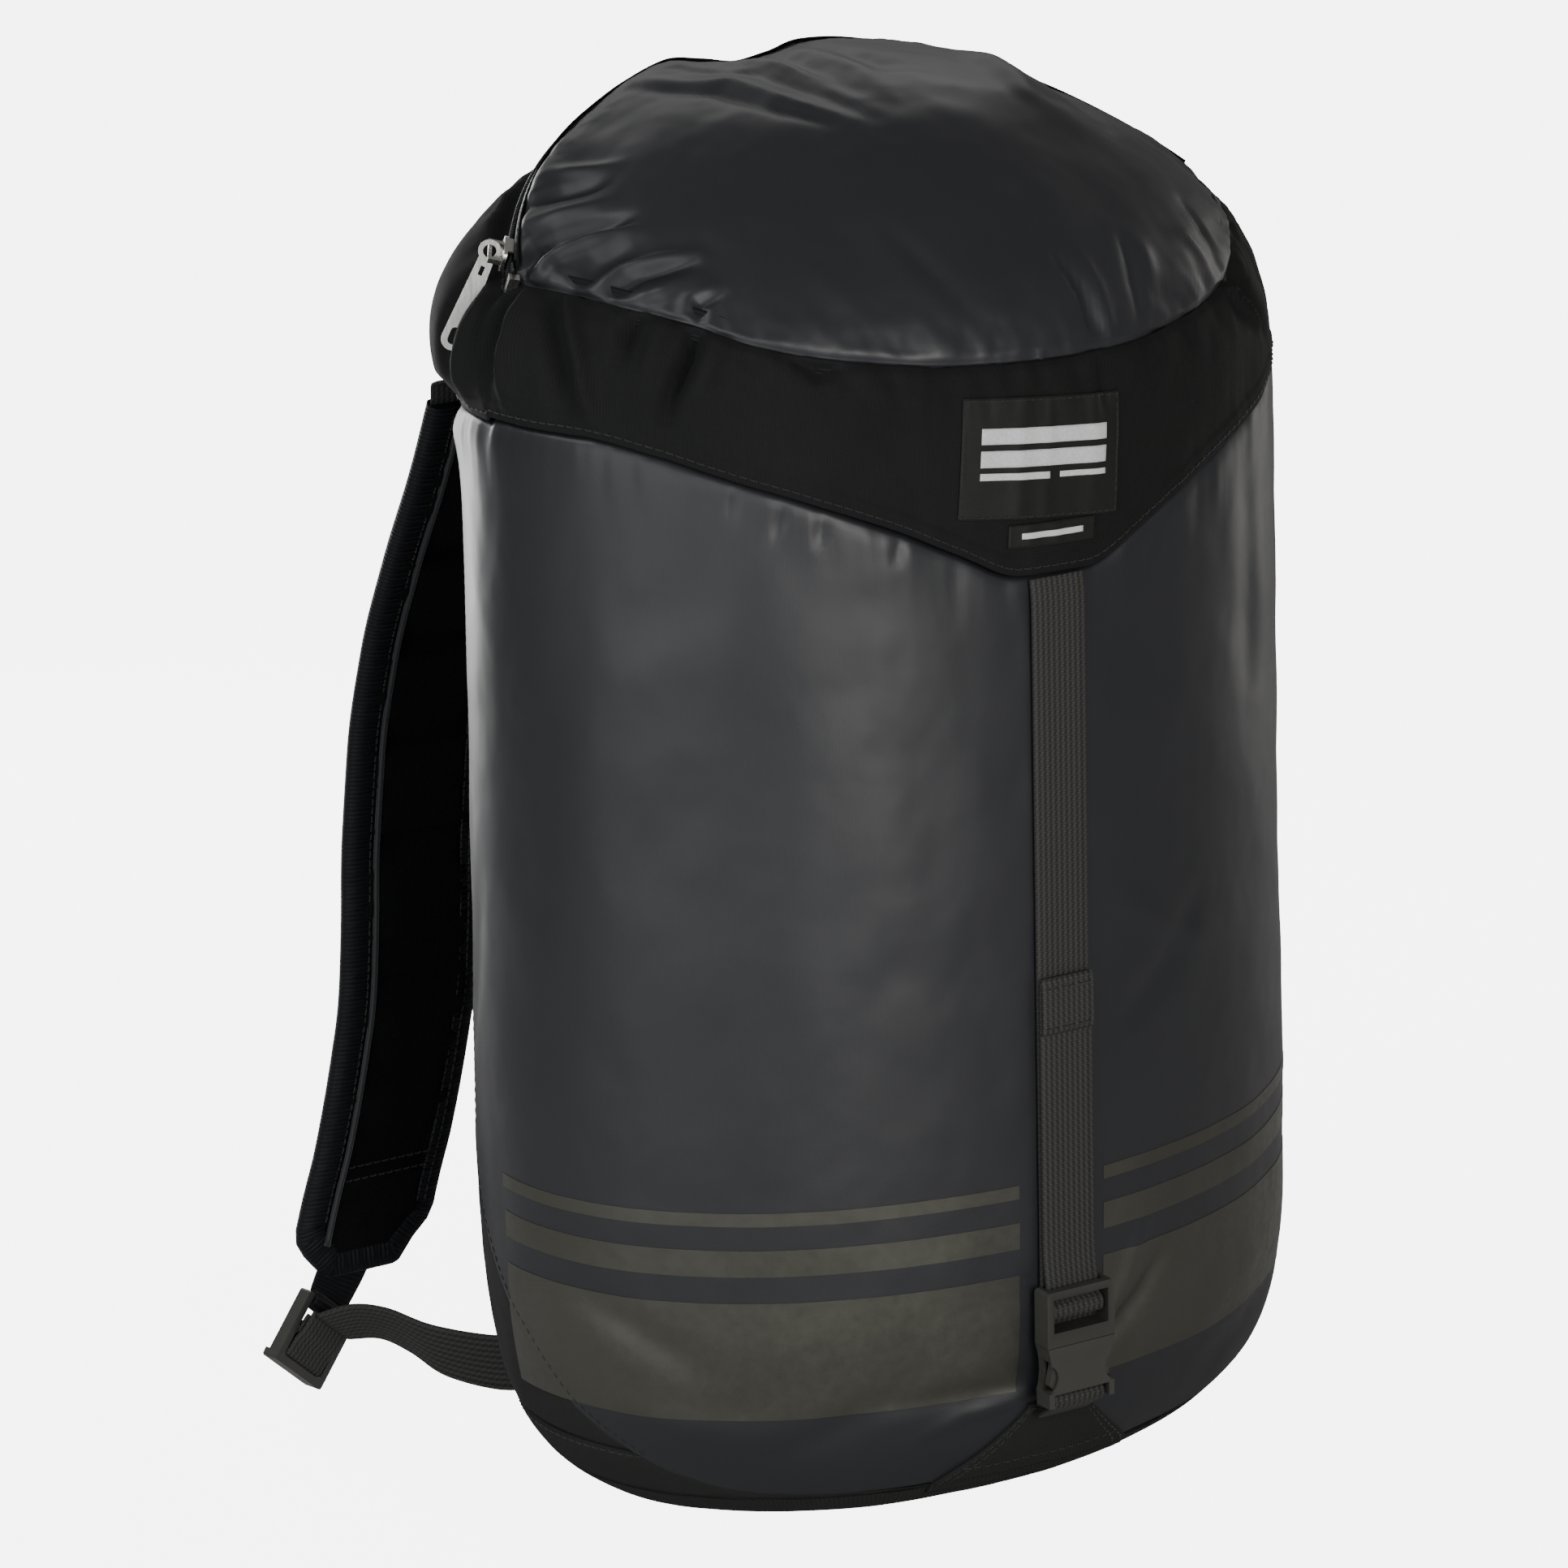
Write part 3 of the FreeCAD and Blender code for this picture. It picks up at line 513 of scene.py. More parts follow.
# ---------------------------------------------------------------- materials
class Graph:
    """Short hand for building the node tree of one material."""

    def __init__(self, name, colour, rough, **sockets):
        self.material = bpy.data.materials.new(name)
        self.material.use_nodes = True
        self.nodes = self.material.node_tree.nodes
        self.links = self.material.node_tree.links
        self.shader = self.nodes["Principled BSDF"]
        self.shader.inputs["Base Color"].default_value = (*colour, 1)
        self.shader.inputs["Roughness"].default_value = rough
        for socket, value in sockets.items():
            self.shader.inputs[socket.replace("_", " ")].default_value = value
        self.place = self.nodes.new("ShaderNodeTexCoord")
        self.height = None

    def add(self, kind, **settings):
        node = self.nodes.new(kind)
        for key, value in settings.items():
            if key in node.inputs:
                node.inputs[key].default_value = value
            else:
                setattr(node, key, value)
        return node

    def noise(self, scale, detail=3.0, where="Object", stretch=None):
        node = self.add("ShaderNodeTexNoise", Scale=scale, Detail=detail)
        source = self.place.outputs[where]
        if stretch:
            mapping = self.add("ShaderNodeMapping", Scale=stretch)
            self.links.new(source, mapping.inputs["Vector"])
            source = mapping.outputs["Vector"]
        self.links.new(source, node.inputs["Vector"])
        return node.outputs["Fac"]

    def creases(self, scale):
        """Thin sharp lines wandering over the cloth, as in crumpled nylon."""
        node = self.add("ShaderNodeTexNoise", noise_type="RIDGED_MULTIFRACTAL", Scale=scale, Detail=3.0,
                        Roughness=0.45, Distortion=0.6)
        self.links.new(self.place.outputs["Object"], node.inputs["Vector"])
        return node.outputs["Fac"]

    def bands(self, pitch_mm, direction, distortion=0.0):
        """Raised threads with a pitch in millimetres, across the cloth coordinates."""
        node = self.add("ShaderNodeTexWave", wave_type="BANDS", bands_direction=direction,
                        Scale=math.pi / pitch_mm, Distortion=distortion)
        self.links.new(self.place.outputs["UV"], node.inputs["Vector"])
        return node.outputs["Fac"]

    def math(self, operation, a, b=None, clamp=False):
        node = self.add("ShaderNodeMath", operation=operation, use_clamp=clamp)
        for socket, value in zip(node.inputs, (a, b)):
            if value is None:
                continue
            if isinstance(value, (int, float)):
                socket.default_value = value
            else:
                self.links.new(value, socket)
        return node.outputs[0]

    def spread(self, source, low, high, to_low, to_high):
        node = self.add("ShaderNodeMapRange")
        self.links.new(source, node.inputs["Value"])
        for key, value in (("From Min", low), ("From Max", high), ("To Min", to_low), ("To Max", to_high)):
            node.inputs[key].default_value = value
        return node.outputs["Result"]

    def bump(self, height, strength, distance_mm):
        node = self.add("ShaderNodeBump", Strength=strength, Distance=distance_mm * MM)
        self.links.new(height, node.inputs["Height"])
        if self.height is not None:
            self.links.new(self.height, node.inputs["Normal"])
        self.height = node.outputs["Normal"]
        self.links.new(self.height, self.shader.inputs["Normal"])

    def mix_colour(self, factor, one, two):
        node = self.add("ShaderNodeMix", data_type="RGBA")
        self.links.new(factor, node.inputs["Factor"])
        for key, value in ((6, one), (7, two)):
            if isinstance(value, tuple):
                node.inputs[key].default_value = (*value, 1)
            else:
                self.links.new(value, node.inputs[key])
        self.links.new(node.outputs[2], self.shader.inputs["Base Color"])
        return node.outputs[2]

    def vary_rough(self, source, low, high):
        self.links.new(self.spread(source, 0.3, 0.7, low, high), self.shader.inputs["Roughness"])


def scaled(colour, k):
    """A lighter or darker shade of a colour."""
    return tuple(min(1.0, c * k) for c in colour)


def weave_height(graph, pitch):
    """Over-and-under threads of a plain weave."""
    warp, weft = graph.bands(pitch, "X"), graph.bands(pitch, "Y")
    return graph.math("ADD", graph.math("MULTIPLY", warp, weft), graph.math("MULTIPLY", warp, 0.25))


def crumpled(graph, threads):
    """Creases, small dents and threads of the coated nylon."""
    graph.bump(graph.creases(13.0), 0.9, 1.6)
    graph.bump(graph.noise(55.0, 5.0), 0.22, 0.8)
    graph.bump(weave_height(graph, 0.55), threads, 0.05)
    return graph.material


def coated_nylon(name, colour):
    """Crumpled nylon with a soft gloss from its coating."""
    g = Graph(name, colour, 0.42, Specular_IOR_Level=0.6)
    mottle = g.noise(9.0, 4.0)
    g.mix_colour(g.spread(mottle, 0.3, 0.7, 0, 1), scaled(colour, 0.86), scaled(colour, 1.1))
    g.vary_rough(g.noise(16.0, 3.0), 0.38, 0.46)
    return crumpled(g, 0.16)


def plain_woven(name, colour, pitch, rough=0.8, depth=0.12, strength=0.5, sheen=0.02):
    """Uncoated matt cloth with a visible weave."""
    g = Graph(name, colour, rough, Specular_IOR_Level=0.16, Sheen_Weight=sheen, Sheen_Roughness=0.5)
    cloth = weave_height(g, pitch)
    fleck = g.math("MULTIPLY_ADD", g.noise(420.0, 2.0), 0.5)
    shade = g.math("ADD", g.spread(cloth, 0, 1.2, 0.0, 0.65), g.math("MULTIPLY", fleck, 0.35), True)
    g.mix_colour(shade, scaled(colour, 0.6), scaled(colour, 1.45))
    g.vary_rough(g.noise(30.0), rough - 0.06, min(1, rough + 0.08))
    g.bump(g.noise(90.0, 4.0), 0.18, 0.6)
    g.bump(cloth, strength, depth)
    return g.material


def webbing(name, colour):
    """Flat woven strap: ribs along it, small diagonal steps across them."""
    g = Graph(name, colour, 0.66, Specular_IOR_Level=0.22, Sheen_Weight=0.03, Sheen_Roughness=0.45)
    ribs = g.bands(2.0, "X")
    twill = g.bands(1.1, "DIAGONAL")
    picks = g.bands(0.9, "Y")
    steps = g.math("MULTIPLY", g.math("MULTIPLY", twill, picks), 0.55)
    body = g.math("ADD", g.math("MULTIPLY", ribs, 0.6), steps)
    g.mix_colour(g.spread(body, 0.1, 1.0, 0, 1), scaled(colour, 0.5), scaled(colour, 1.4))
    g.vary_rough(g.noise(60.0), 0.58, 0.72)
    g.bump(body, 0.6, 0.2)
    return g.material


def ink(name, colour):
    """Metallic print on the nylon: lets the cloth's threads through."""
    g = Graph(name, colour, 0.4, Metallic=0.85, Specular_IOR_Level=0.5)
    grain = g.noise(300.0, 3.0)
    g.mix_colour(g.spread(g.noise(14.0, 4.0), 0.3, 0.7, 0, 1), scaled(colour, 0.85), scaled(colour, 1.15))
    g.vary_rough(grain, 0.34, 0.46)
    return crumpled(g, 0.25)


def moulded(name, colour, rough=0.36):
    """Injection-moulded plastic with a fine spark-eroded grain and painted highlights on its edges."""
    g = Graph(name, colour, rough, Specular_IOR_Level=0.5)
    shape = g.add("ShaderNodeNewGeometry")
    # Painted highlight: sharp edges get a lighter colour, standing in for the light their bevels catch.
    edge = g.spread(shape.outputs["Pointiness"], 0.5, 0.62, 0, 1)
    g.mix_colour(g.math("MULTIPLY", edge, 0.6, True), colour, scaled(colour, 2.2))
    g.vary_rough(g.noise(140.0), rough - 0.06, rough + 0.08)
    g.bump(g.noise(1400.0, 2.0), 0.25, 0.05)
    return g.material


def nickel(name, colour):
    """Bright plated zinc with fine handling scratches."""
    g = Graph(name, colour, 0.2, Metallic=1.0)
    scratches = g.noise(900.0, 2.0, stretch=(1.0, 1.0, 0.06))
    g.mix_colour(g.spread(g.noise(160.0), 0.3, 0.7, 0, 1), scaled(colour, 0.94), colour)
    g.vary_rough(scratches, 0.22, 0.3)
    g.bump(scratches, 0.08, 0.03)
    return g.material


def thread(name, colour):
    """Sewing thread, uneven along its plies."""
    g = Graph(name, colour, 0.55, Specular_IOR_Level=0.4, Sheen_Weight=0.2)
    ply = g.noise(1500.0, 2.0)
    g.mix_colour(ply, scaled(colour, 0.7), scaled(colour, 1.3))
    g.bump(ply, 0.5, 0.1)
    return g.material


def ribbed_tape(name, colour):
    """Folded edge binding with short ribs across it."""
    g = Graph(name, colour, 0.62, Specular_IOR_Level=0.25, Sheen_Weight=0.04)
    ribs = g.bands(1.5, "Y")
    g.mix_colour(ribs, scaled(colour, 0.45), scaled(colour, 1.5))
    g.vary_rough(g.noise(80.0), 0.56, 0.7)
    g.bump(ribs, 0.7, 0.25)
    return g.material


MATERIALS = {}


def material(key):
    """The named material, made the first time it is asked for."""
    tint = bpy.context.scene.sack_colours
    recipes = {
        "nylon": (coated_nylon, tint.nylon, ()),
        "yoke cloth": (plain_woven, tint.yoke, (0.9,)),
        "base cloth": (plain_woven, tint.base, (1.0,)),
        "webbing": (webbing, tint.webbing, ()),
        "print": (ink, tint.print_ink, ()),
        "plastic": (moulded, tint.plastic, ()),
        "nickel": (nickel, tint.metal, ()),
        "thread": (thread, tint.thread, ()),
        "zip tape": (plain_woven, tint.zip_tape, (0.6, 0.7, 0.08, 0.5)),
        "zip coil": (moulded, tint.zip_tape, (0.38,)),
        "strap cloth": (plain_woven, tint.strap, (1.1, 0.9, 0.2, 0.7, 0.0)),
        "binding": (ribbed_tape, tint.binding, ()),
        "ridge": (thread, tint.ridge, ()),
        "label cloth": (plain_woven, tint.label, (0.5, 0.5, 0.05, 0.4)),
        "label mark": (thread, tint.mark, ()),
    }
    if key not in MATERIALS:
        make, colour, more = recipes[key]
        MATERIALS[key] = make(key, tuple(colour), *more)
    return MATERIALS[key]


# ---------------------------------------------------------------- settings
def colour_of(name, description, default):
    """A colour setting."""
    return FloatVectorProperty(name=name, description=description, default=default, subtype="COLOR",
                               min=0, max=1, size=3)


class SackColours(bpy.types.PropertyGroup):
    nylon: colour_of("Nylon", "Coated nylon of the body and the lid", (0.022, 0.0225, 0.026))
    yoke: colour_of("Yoke", "Black woven cloth of the yoke", (0.0125, 0.0127, 0.0126))
    base: colour_of("Base", "Black woven cloth of the back and the base", (0.024, 0.024, 0.0228))
    webbing: colour_of("Webbing", "All flat straps", (0.052, 0.051, 0.048))
    print_ink: colour_of("Print", "Metallic print on the body", (0.13, 0.128, 0.108))
    plastic: colour_of("Plastic", "Buckle and adjusters", (0.032, 0.0315, 0.028))
    metal: colour_of("Metal", "Zip slider and pull", (0.86, 0.84, 0.79))
    thread: colour_of("Thread", "Sewing thread", (0.007, 0.007, 0.007))
    zip_tape: colour_of("Zip", "Zip tape and coil", (0.005, 0.0053, 0.0053))
    strap: colour_of("Strap pad", "Outer cloth of the shoulder straps", (0.0045, 0.0047, 0.005))
    binding: colour_of("Binding", "Edge binding of the shoulder straps", (0.006, 0.0064, 0.009))
    ridge: colour_of("Strap ridge", "Piping line along the shoulder straps", (0.022, 0.023, 0.027))
    label: colour_of("Label", "Cloth of the label and the tag", (0.02, 0.0205, 0.0185))
    mark: colour_of("Label mark", "Plain bars on the label", (0.82, 0.82, 0.84))


class SackSizes(bpy.types.PropertyGroup):
    seam_groove: FloatProperty(name="Seam groove", description="Depth of the groove at each seam (mm)",
                               default=1.5, min=0, max=4)
    seam_width: FloatProperty(name="Seam width", description="Half width of that groove (mm)",
                              default=2.0, min=0.5, max=6)
    crinkle: FloatProperty(name="Crinkle", description="Height of the small uneven places in the cloth (mm)",
                           default=0.85, min=0, max=3)
    cloth: FloatProperty(name="Cloth", description="Thickness of the sewn cloth (mm)",
                         default=0.9, min=0.2, max=2)
    stitch: FloatProperty(name="Stitch", description="Length of one stitch (mm)", default=2.5, min=1, max=6)
    stitch_gap: FloatProperty(name="Stitch gap", description="Gap between two stitches (mm)",
                              default=0.9, min=0.2, max=4)
    web: FloatProperty(name="Webbing", description="Width of the flat straps (mm)",
                       default=20, min=10, max=50)
    coil_pitch: FloatProperty(name="Coil pitch", description="Pitch of the zip's coil (mm)",
                              default=1.25, min=0.8, max=4)
    puff: FloatProperty(name="Pad pressure", description="Pressure that swells the shoulder pads",
                        default=1.6, min=0, max=10)


class StudioSettings(bpy.types.PropertyGroup):
    distance: FloatProperty(name="Distance", description="From the camera to the sack", default=2.4,
                            min=0.5, max=20, subtype="DISTANCE", unit="LENGTH")
    azimuth: FloatProperty(name="Azimuth", description="Camera angle round the sack (degrees)",
                           default=-32.8)
    elevation: FloatProperty(name="Elevation", description="Camera angle above the floor (degrees)",
                             default=16.5)
    lens: FloatProperty(name="Lens", description="Focal length (mm)", default=169.0, min=20, max=400)
    light: FloatProperty(name="Light", description="Strength of all the studio lights",
                         default=1.0, min=0, max=10)


# ---------------------------------------------------------------- sack cloth
def relief(grid, closed, folds, low_seam=1.0, high_seam=1.0, gathers=(0.0, 0.0), calm=1.0, push=1.0,
           zip_edge=0.0):
    """Moves a grid of cloth in and out: seams, folds, gathers at the seams, stuffing and crinkles.

    calm scales the crinkles and push the folds; zip_edge 1 holds the upper edge where it is.
    """
    sizes = bpy.context.scene.sack_sizes
    normals = grid_normals(grid, closed)
    low, high = edge_distances(grid)
    points = grid.reshape(-1, 3)
    groove = sizes.seam_groove
    width = sizes.seam_width
    lift = -groove * (low_seam * np.exp(-(low / width) ** 2) + high_seam * np.exp(-(high / width) ** 2))
    for distance, amount, seed in ((low, gathers[0], 3), (high, gathers[1], 7)):
        if amount:
            fine = ripple(points, (3.2, 3.2, 26), seed).reshape(low.shape)
            broad = ripple(points, (9, 9, 50), seed + 1).reshape(low.shape)
            lift += amount * (0.6 * fine + broad) * np.exp(-((distance - GATHER_AT) / GATHER_REACH) ** 2)
    edge = np.minimum(low, high)
    small = ripple(points, (17, 17, 24), 11).reshape(low.shape)
    tiny = ripple(points, (7, 7, 9), 13).reshape(low.shape)
    large = ripple(points, (48, 48, 170), 17).reshape(low.shape)
    soft = sizes.crinkle * (0.8 * small + 0.22 * tiny) * smoothstep(edge / CRINKLE_FADE) + 1.1 * large
    lift += soft * calm + push * fold_height(points, folds).reshape(low.shape) * smoothstep(edge / FOLD_FADE)
    lift += bulge_height(points).reshape(low.shape) * smoothstep(edge / BULGE_FADE)
    lift = lift * (1 - zip_edge * (1 - smoothstep(high / ZIP_FADE)))
    return grid + normals * lift[..., None]


def seam_angle(z):
    """Angle of the side seam between front and back cloth at a height."""
    y = SEAM_DEPTH(z)
    b = np.sqrt(DEEP_2(z))
    return np.arccos(np.clip((SHIFT(z) - y) / b, -1, 1))


def yoke_low(theta, flat=False):
    """Height of the yoke's lower edge at an angle."""
    x = YOKE_HALF * np.sin(theta)
    front = np.cos(theta) > 0
    z = np.where(front, YOKE_LOW_FRONT(np.abs(x)), YOKE_LOW_BACK(np.abs(x)))
    return z - (0 if flat else SEAM_TILT * x)


def front_grid():
    """Nylon of the front, from side seam to side seam and up to the yoke."""
    rows, cols = 170, 300
    t = np.linspace(0, 1, rows)[:, None]
    t = 0.35 * t ** 2 + 0.65 * t
    s = np.linspace(-1, 1, cols)[None]
    top = yoke_low(s * seam_angle(SIDE_SEAM_TOP))
    z = FRONT_LOW + t * (top - FRONT_LOW)
    return ring_point(s * seam_angle(z), z)


def back_grid():
    """Cloth of the back between the side seams, from the base to the yoke."""
    rows, cols = 120, 180
    t = np.linspace(0, 1, rows)[:, None]
    s = np.linspace(0, 1, cols)[None]
    edge = seam_angle(SIDE_SEAM_TOP)
    top = yoke_low(edge + s * (2 * math.pi - 2 * edge))
    z = BASE_TOP + t * (top - BASE_TOP)
    edge = seam_angle(z)
    return ring_point(edge + s * (2 * math.pi - 2 * edge), z)


def base_grid():
    """Base with its floor and its low wall, open at the front where the nylon comes down."""
    heights = np.concatenate([[0.0], np.linspace(0.4, 11, 16), np.linspace(11.4, BASE_TOP, 22)])[:, None]
    s = np.linspace(0, 1, 240)[None]
    edge = np.where(heights > SIDE_SEAM_LOW + 0.05, seam_angle(heights), 0)
    wall = ring_point(edge + s * (2 * math.pi - 2 * edge), heights)
    rim = wall[0]
    floor = [rim * k + np.array([0, 0, 1.6 * (1 - k * k)]) for k in np.linspace(0.02, 0.98, 16)]
    return np.concatenate([floor, wall])


def top_edge_table():
    """Upper edge of the yoke round the sack: angle, height and step from the plain skin."""
    seam = dome_seam(240)
    zip_edge = zip_point(np.linspace(ZIP_HALF, -ZIP_HALF, 160), np.full(160, ZIP_CLOTH_LIFT),
                         np.full(160, -ZIP_EDGE))
    line = np.concatenate([seam, zip_edge])
    theta = angle_of(line)
    theta = np.where(theta < theta[0] - 1e-6, theta + 2 * math.pi, theta)
    step = line - ring_point(theta, line[:, 2])
    order = np.argsort(theta)
    return theta[order], line[order, 2], step[order]


def yoke_grid():
    """Yoke from its lower edge up to the lid seam and, behind, to the zip."""
    rows, cols = 74, 460
    theta = np.linspace(-math.pi / 2, 1.5 * math.pi, cols, endpoint=False)
    at, height, step = top_edge_table()
    at = np.concatenate([at - 2 * math.pi, at, at + 2 * math.pi])
    top = np.interp(theta, at, np.tile(height, 3))
    move = np.stack([np.interp(theta, at, np.tile(step[:, k], 3)) for k in range(3)], -1)
    low = yoke_low(theta)
    t = np.linspace(0, 1, rows)[:, None]
    z = low + t * (top - low)
    plain = ring_point(np.broadcast_to(theta, z.shape), z)
    room = np.maximum(top - low, 1)
    weight = smoothstep(1 - (1 - t) * room / np.minimum(room, 40))[..., None]
    return plain + weight * move


def outside(points):
    """Above 0 outside the plain skin, below 0 inside it."""
    a2 = np.maximum(WIDE_2(points[..., 2]), 1)
    b2 = np.maximum(DEEP_2(points[..., 2]), 1)
    value = points[..., 0] ** 2 / a2 + (points[..., 1] - SHIFT(points[..., 2])) ** 2 / b2 - 1
    return np.where(points[..., 2] >= CROWN, 1, value)


def lid_grid():
    """Lid from the seam at its front over the crown to the zip."""
    rows, cols = 120, 210
    front = dome_seam(cols)
    degrees = np.linspace(-ZIP_HALF, ZIP_HALF, cols)
    back = zip_point(degrees, np.full(cols, ZIP_CLOTH_LIFT), np.full(cols, ZIP_EDGE))
    t = np.linspace(0, 1, rows)[:, None, None]
    straight = front + t * (back - front)
    heart = straight * np.array([0.55, 0, 0]) + LID_HEART
    way = unit(straight - heart)
    near = np.zeros(straight.shape[:2])
    far = np.full(straight.shape[:2], 190.0)
    for _ in range(34):
        middle = (near + far) / 2
        out = outside(heart + way * middle[..., None]) > 0
        far = np.where(out, middle, far)
        near = np.where(out, near, middle)
    skin = heart + way * near[..., None]
    step_back = (back - skin[-1])[None]
    step_front = (front - skin[0])[None]
    s = np.linalg.norm(np.diff(skin, axis=0), axis=2).sum(0)[None, :, None] + 1e-6
    fade_back = smoothstep(1 - (1 - t) * s / np.minimum(s, 45))
    fade_front = smoothstep(1 - t * s / np.minimum(s, 12))
    return skin + fade_back * step_back + fade_front * step_front


class SACK_OT_panels(bpy.types.Operator):
    """Front, back and base cloth of the sack with their seams"""
    bl_idname = "sack.panels"
    bl_label = "Body cloth"

    def execute(self, context):
        sizes = context.scene.sack_sizes
        front = relief(front_grid(), False, BODY_FOLDS, 0.8, 1.0, (0.2, 0.5), calm=0.5, push=1.5)
        back = relief(back_grid(), False, [], 0.8, 1.0, (0.1, 0.3))
        base = relief(base_grid(), False, [], 0.0, 0.8, (0.0, 0.1), calm=0.35)
        base[..., 2] = np.maximum(base[..., 2], 0.05)
        whole = base[:, 0, 2] < SIDE_SEAM_LOW
        base[whole, 0] = base[whole, -1] = (base[whole, 0] + base[whole, -1]) / 2
        for name, grid, key, slot, nodes in (
                ("front_cloth", front, "nylon", "nylon_grey", ["front_panel"]),
                ("back_cloth", back, "base cloth", "nylon_black", ["back_panel"]),
                ("base_cloth", base, "base cloth", "nylon_black", ["base_panel"])):
            piece = thicken(grid_piece(name, grid), sizes.cloth)
            dress(piece, key, "sack", nodes)
        side_rows = []
        for col in (1, -2):
            line, normal = front[12:, col], grid_normals(front, False)[12:, col]
            inward = unit(front[12:, 4 if col == 1 else -5] - line)
            side_rows.append((line + inward * 2.2, normal))
        rim = line_on(base, False, from_high=2.5)
        sew("body_stitches", side_rows + [rim])
        return {"FINISHED"}


class SACK_OT_yoke(bpy.types.Operator):
    """Black yoke with its point, its puckers and its row of stitches"""
    bl_idname = "sack.yoke"
    bl_label = "Yoke"

    def execute(self, context):
        sizes = context.scene.sack_sizes
        plain = yoke_grid()
        theta = np.linspace(-math.pi / 2, 1.5 * math.pi, plain.shape[1], endpoint=False)
        front_only = smoothstep((np.cos(theta) + 0.15) / 0.2)
        grid = relief(plain, True, YOKE_FOLDS, 0.25, 0.0, (0.5, 1.3), push=2.3,
                      zip_edge=1 - front_only)
        normals = grid_normals(plain, True)
        _, high = edge_distances(plain)
        groove = sizes.seam_groove * np.exp(-(high / sizes.seam_width) ** 2) * front_only
        hem = 0.55 * smoothstep((7 - edge_distances(plain)[0]) / 2)
        grid = grid + normals * (hem - groove)[..., None]
        dress(thicken(grid_piece("yoke_cloth", grid, True), sizes.cloth), "yoke cloth", "sack",
              ["yoke"])
        line, normal = line_on(grid, True, from_low=STITCH_INSET)
        rows = [(np.concatenate([line, line[:1]]), np.concatenate([normal, normal[:1]]))]
        zip_side = np.flatnonzero(np.cos(theta) < -0.05)
        rows.append(line_on(grid, True, from_high=STITCH_INSET, first=zip_side[0], last=zip_side[-1]))
        sew("yoke_stitches", rows)
        # Tape over the inside of the seam between the yoke and the cloth below it.
        theta = np.linspace(0, 2 * math.pi, 360, endpoint=False)
        tape = np.array([ring_point(theta, yoke_low(theta) + w) for w in (-6, -3.5, -1, 1, 3.5, 6)])
        tape = tape - grid_normals(tape, True) * 2.7
        dress(thicken(grid_piece("yoke_seam_tape", tape, True), 0.6), "binding", "sack")
        return {"FINISHED"}


class SACK_OT_lid(bpy.types.Operator):
    """Domed lid cloth with its row of stitches and its seam tape"""
    bl_idname = "sack.lid"
    bl_label = "Lid"

    def execute(self, context):
        sizes = context.scene.sack_sizes
        grid = relief(lid_grid(), False, LID_FOLDS, 1.0, 0.0, (0.75, 0.6), push=1.15, zip_edge=1.0)
        piece = thicken(grid_piece("lid_cloth", grid), sizes.cloth)
        bend_with_lid(dress(piece, "nylon", None, ["lid_front", "lid_flap"]))
        row = line_on(grid, False, from_high=STITCH_INSET, first=6, last=-6)
        bend_with_lid(sew("lid_stitches", [row], None))
        self.seam_tape()
        return {"FINISHED"}

    def seam_tape(self):
        """Binding over the inside of the seam between lid and yoke."""
        line = dome_seam(200)[3:-3]
        out = line - np.array([0, 12, 360.0])
        along_seam = np.gradient(line, axis=0)
        across = np.cross(along_seam, out)
        out = np.cross(across, along_seam)
        across, out = unit(across), unit(out)
        grid = np.array([line - out * 2.9 + across * w for w in (-5, -3, -1, 1, 3, 5)])
        dress(thicken(grid_piece("dome_seam_tape", grid), 0.6), "binding", "sack")


def bend_with_lid(piece):
    """Bakes the piece's placement into its mesh."""
    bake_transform(piece)


COIL_STEPS = 9                  # points in one turn of the coil
COIL_WIRE = 0.3
TAPE_ROWS, TAPE_COLS = 6, 260


class SACK_OT_zip(bpy.types.Operator):
    """Zip tapes and both rows of the coil"""
    bl_idname = "sack.zip"
    bl_label = "Zip"

    def execute(self, context):
        sizes = context.scene.sack_sizes
        degrees = np.linspace(-ZIP_HALF, ZIP_HALF, TAPE_COLS)
        shape = (TAPE_ROWS, TAPE_COLS)
        for side, name in ((-1, "body"), (1, "lid")):
            offsets = np.linspace(0.5, 7.4, TAPE_ROWS)[:, None] * side
            tape = zip_point(np.broadcast_to(degrees, shape), np.full(shape, -0.5),
                             np.broadcast_to(offsets, shape))
            if side > 0:
                tape = tape[:, ::-1]
            tape = thicken(grid_piece("zip_tape_%s_side" % name, tape[:, ::-1]), 0.5)
            coil = self.coil(side, sizes.coil_pitch)
            coil = mesh_piece("zip_coil_%s_side" % name, *coil)
            for piece, key, slot in ((tape, "zip tape", "zip_tape"), (coil, "zip coil", "zip_coil")):
                if side > 0:
                    bend_with_lid(dress(piece, key, None, [slot + "_flap", slot + "_ends"]))
                else:
                    dress(piece, key, "sack", [slot + "_body"])
        return {"FINISHED"}

    def coil(self, side, pitch):
        """One continuous loop of monofilament along the tape."""
        length = math.radians(2 * ZIP_HALF) * ZIP_RADIUS
        turns = int(length / pitch)
        k = np.arange(turns * COIL_STEPS + 1) / COIL_STEPS + (0.5 if side > 0 else 0)
        a = 2 * math.pi * k
        degrees = -ZIP_HALF + 2 * ZIP_HALF * np.clip(k / (turns + 1), 0, 1)
        across = (1.55 + 1.35 * np.cos(a)) * side
        lift = 0.85 + 0.7 * np.sin(a)
        return tube_mesh(zip_point(degrees, lift, across), 5, COIL_WIRE)


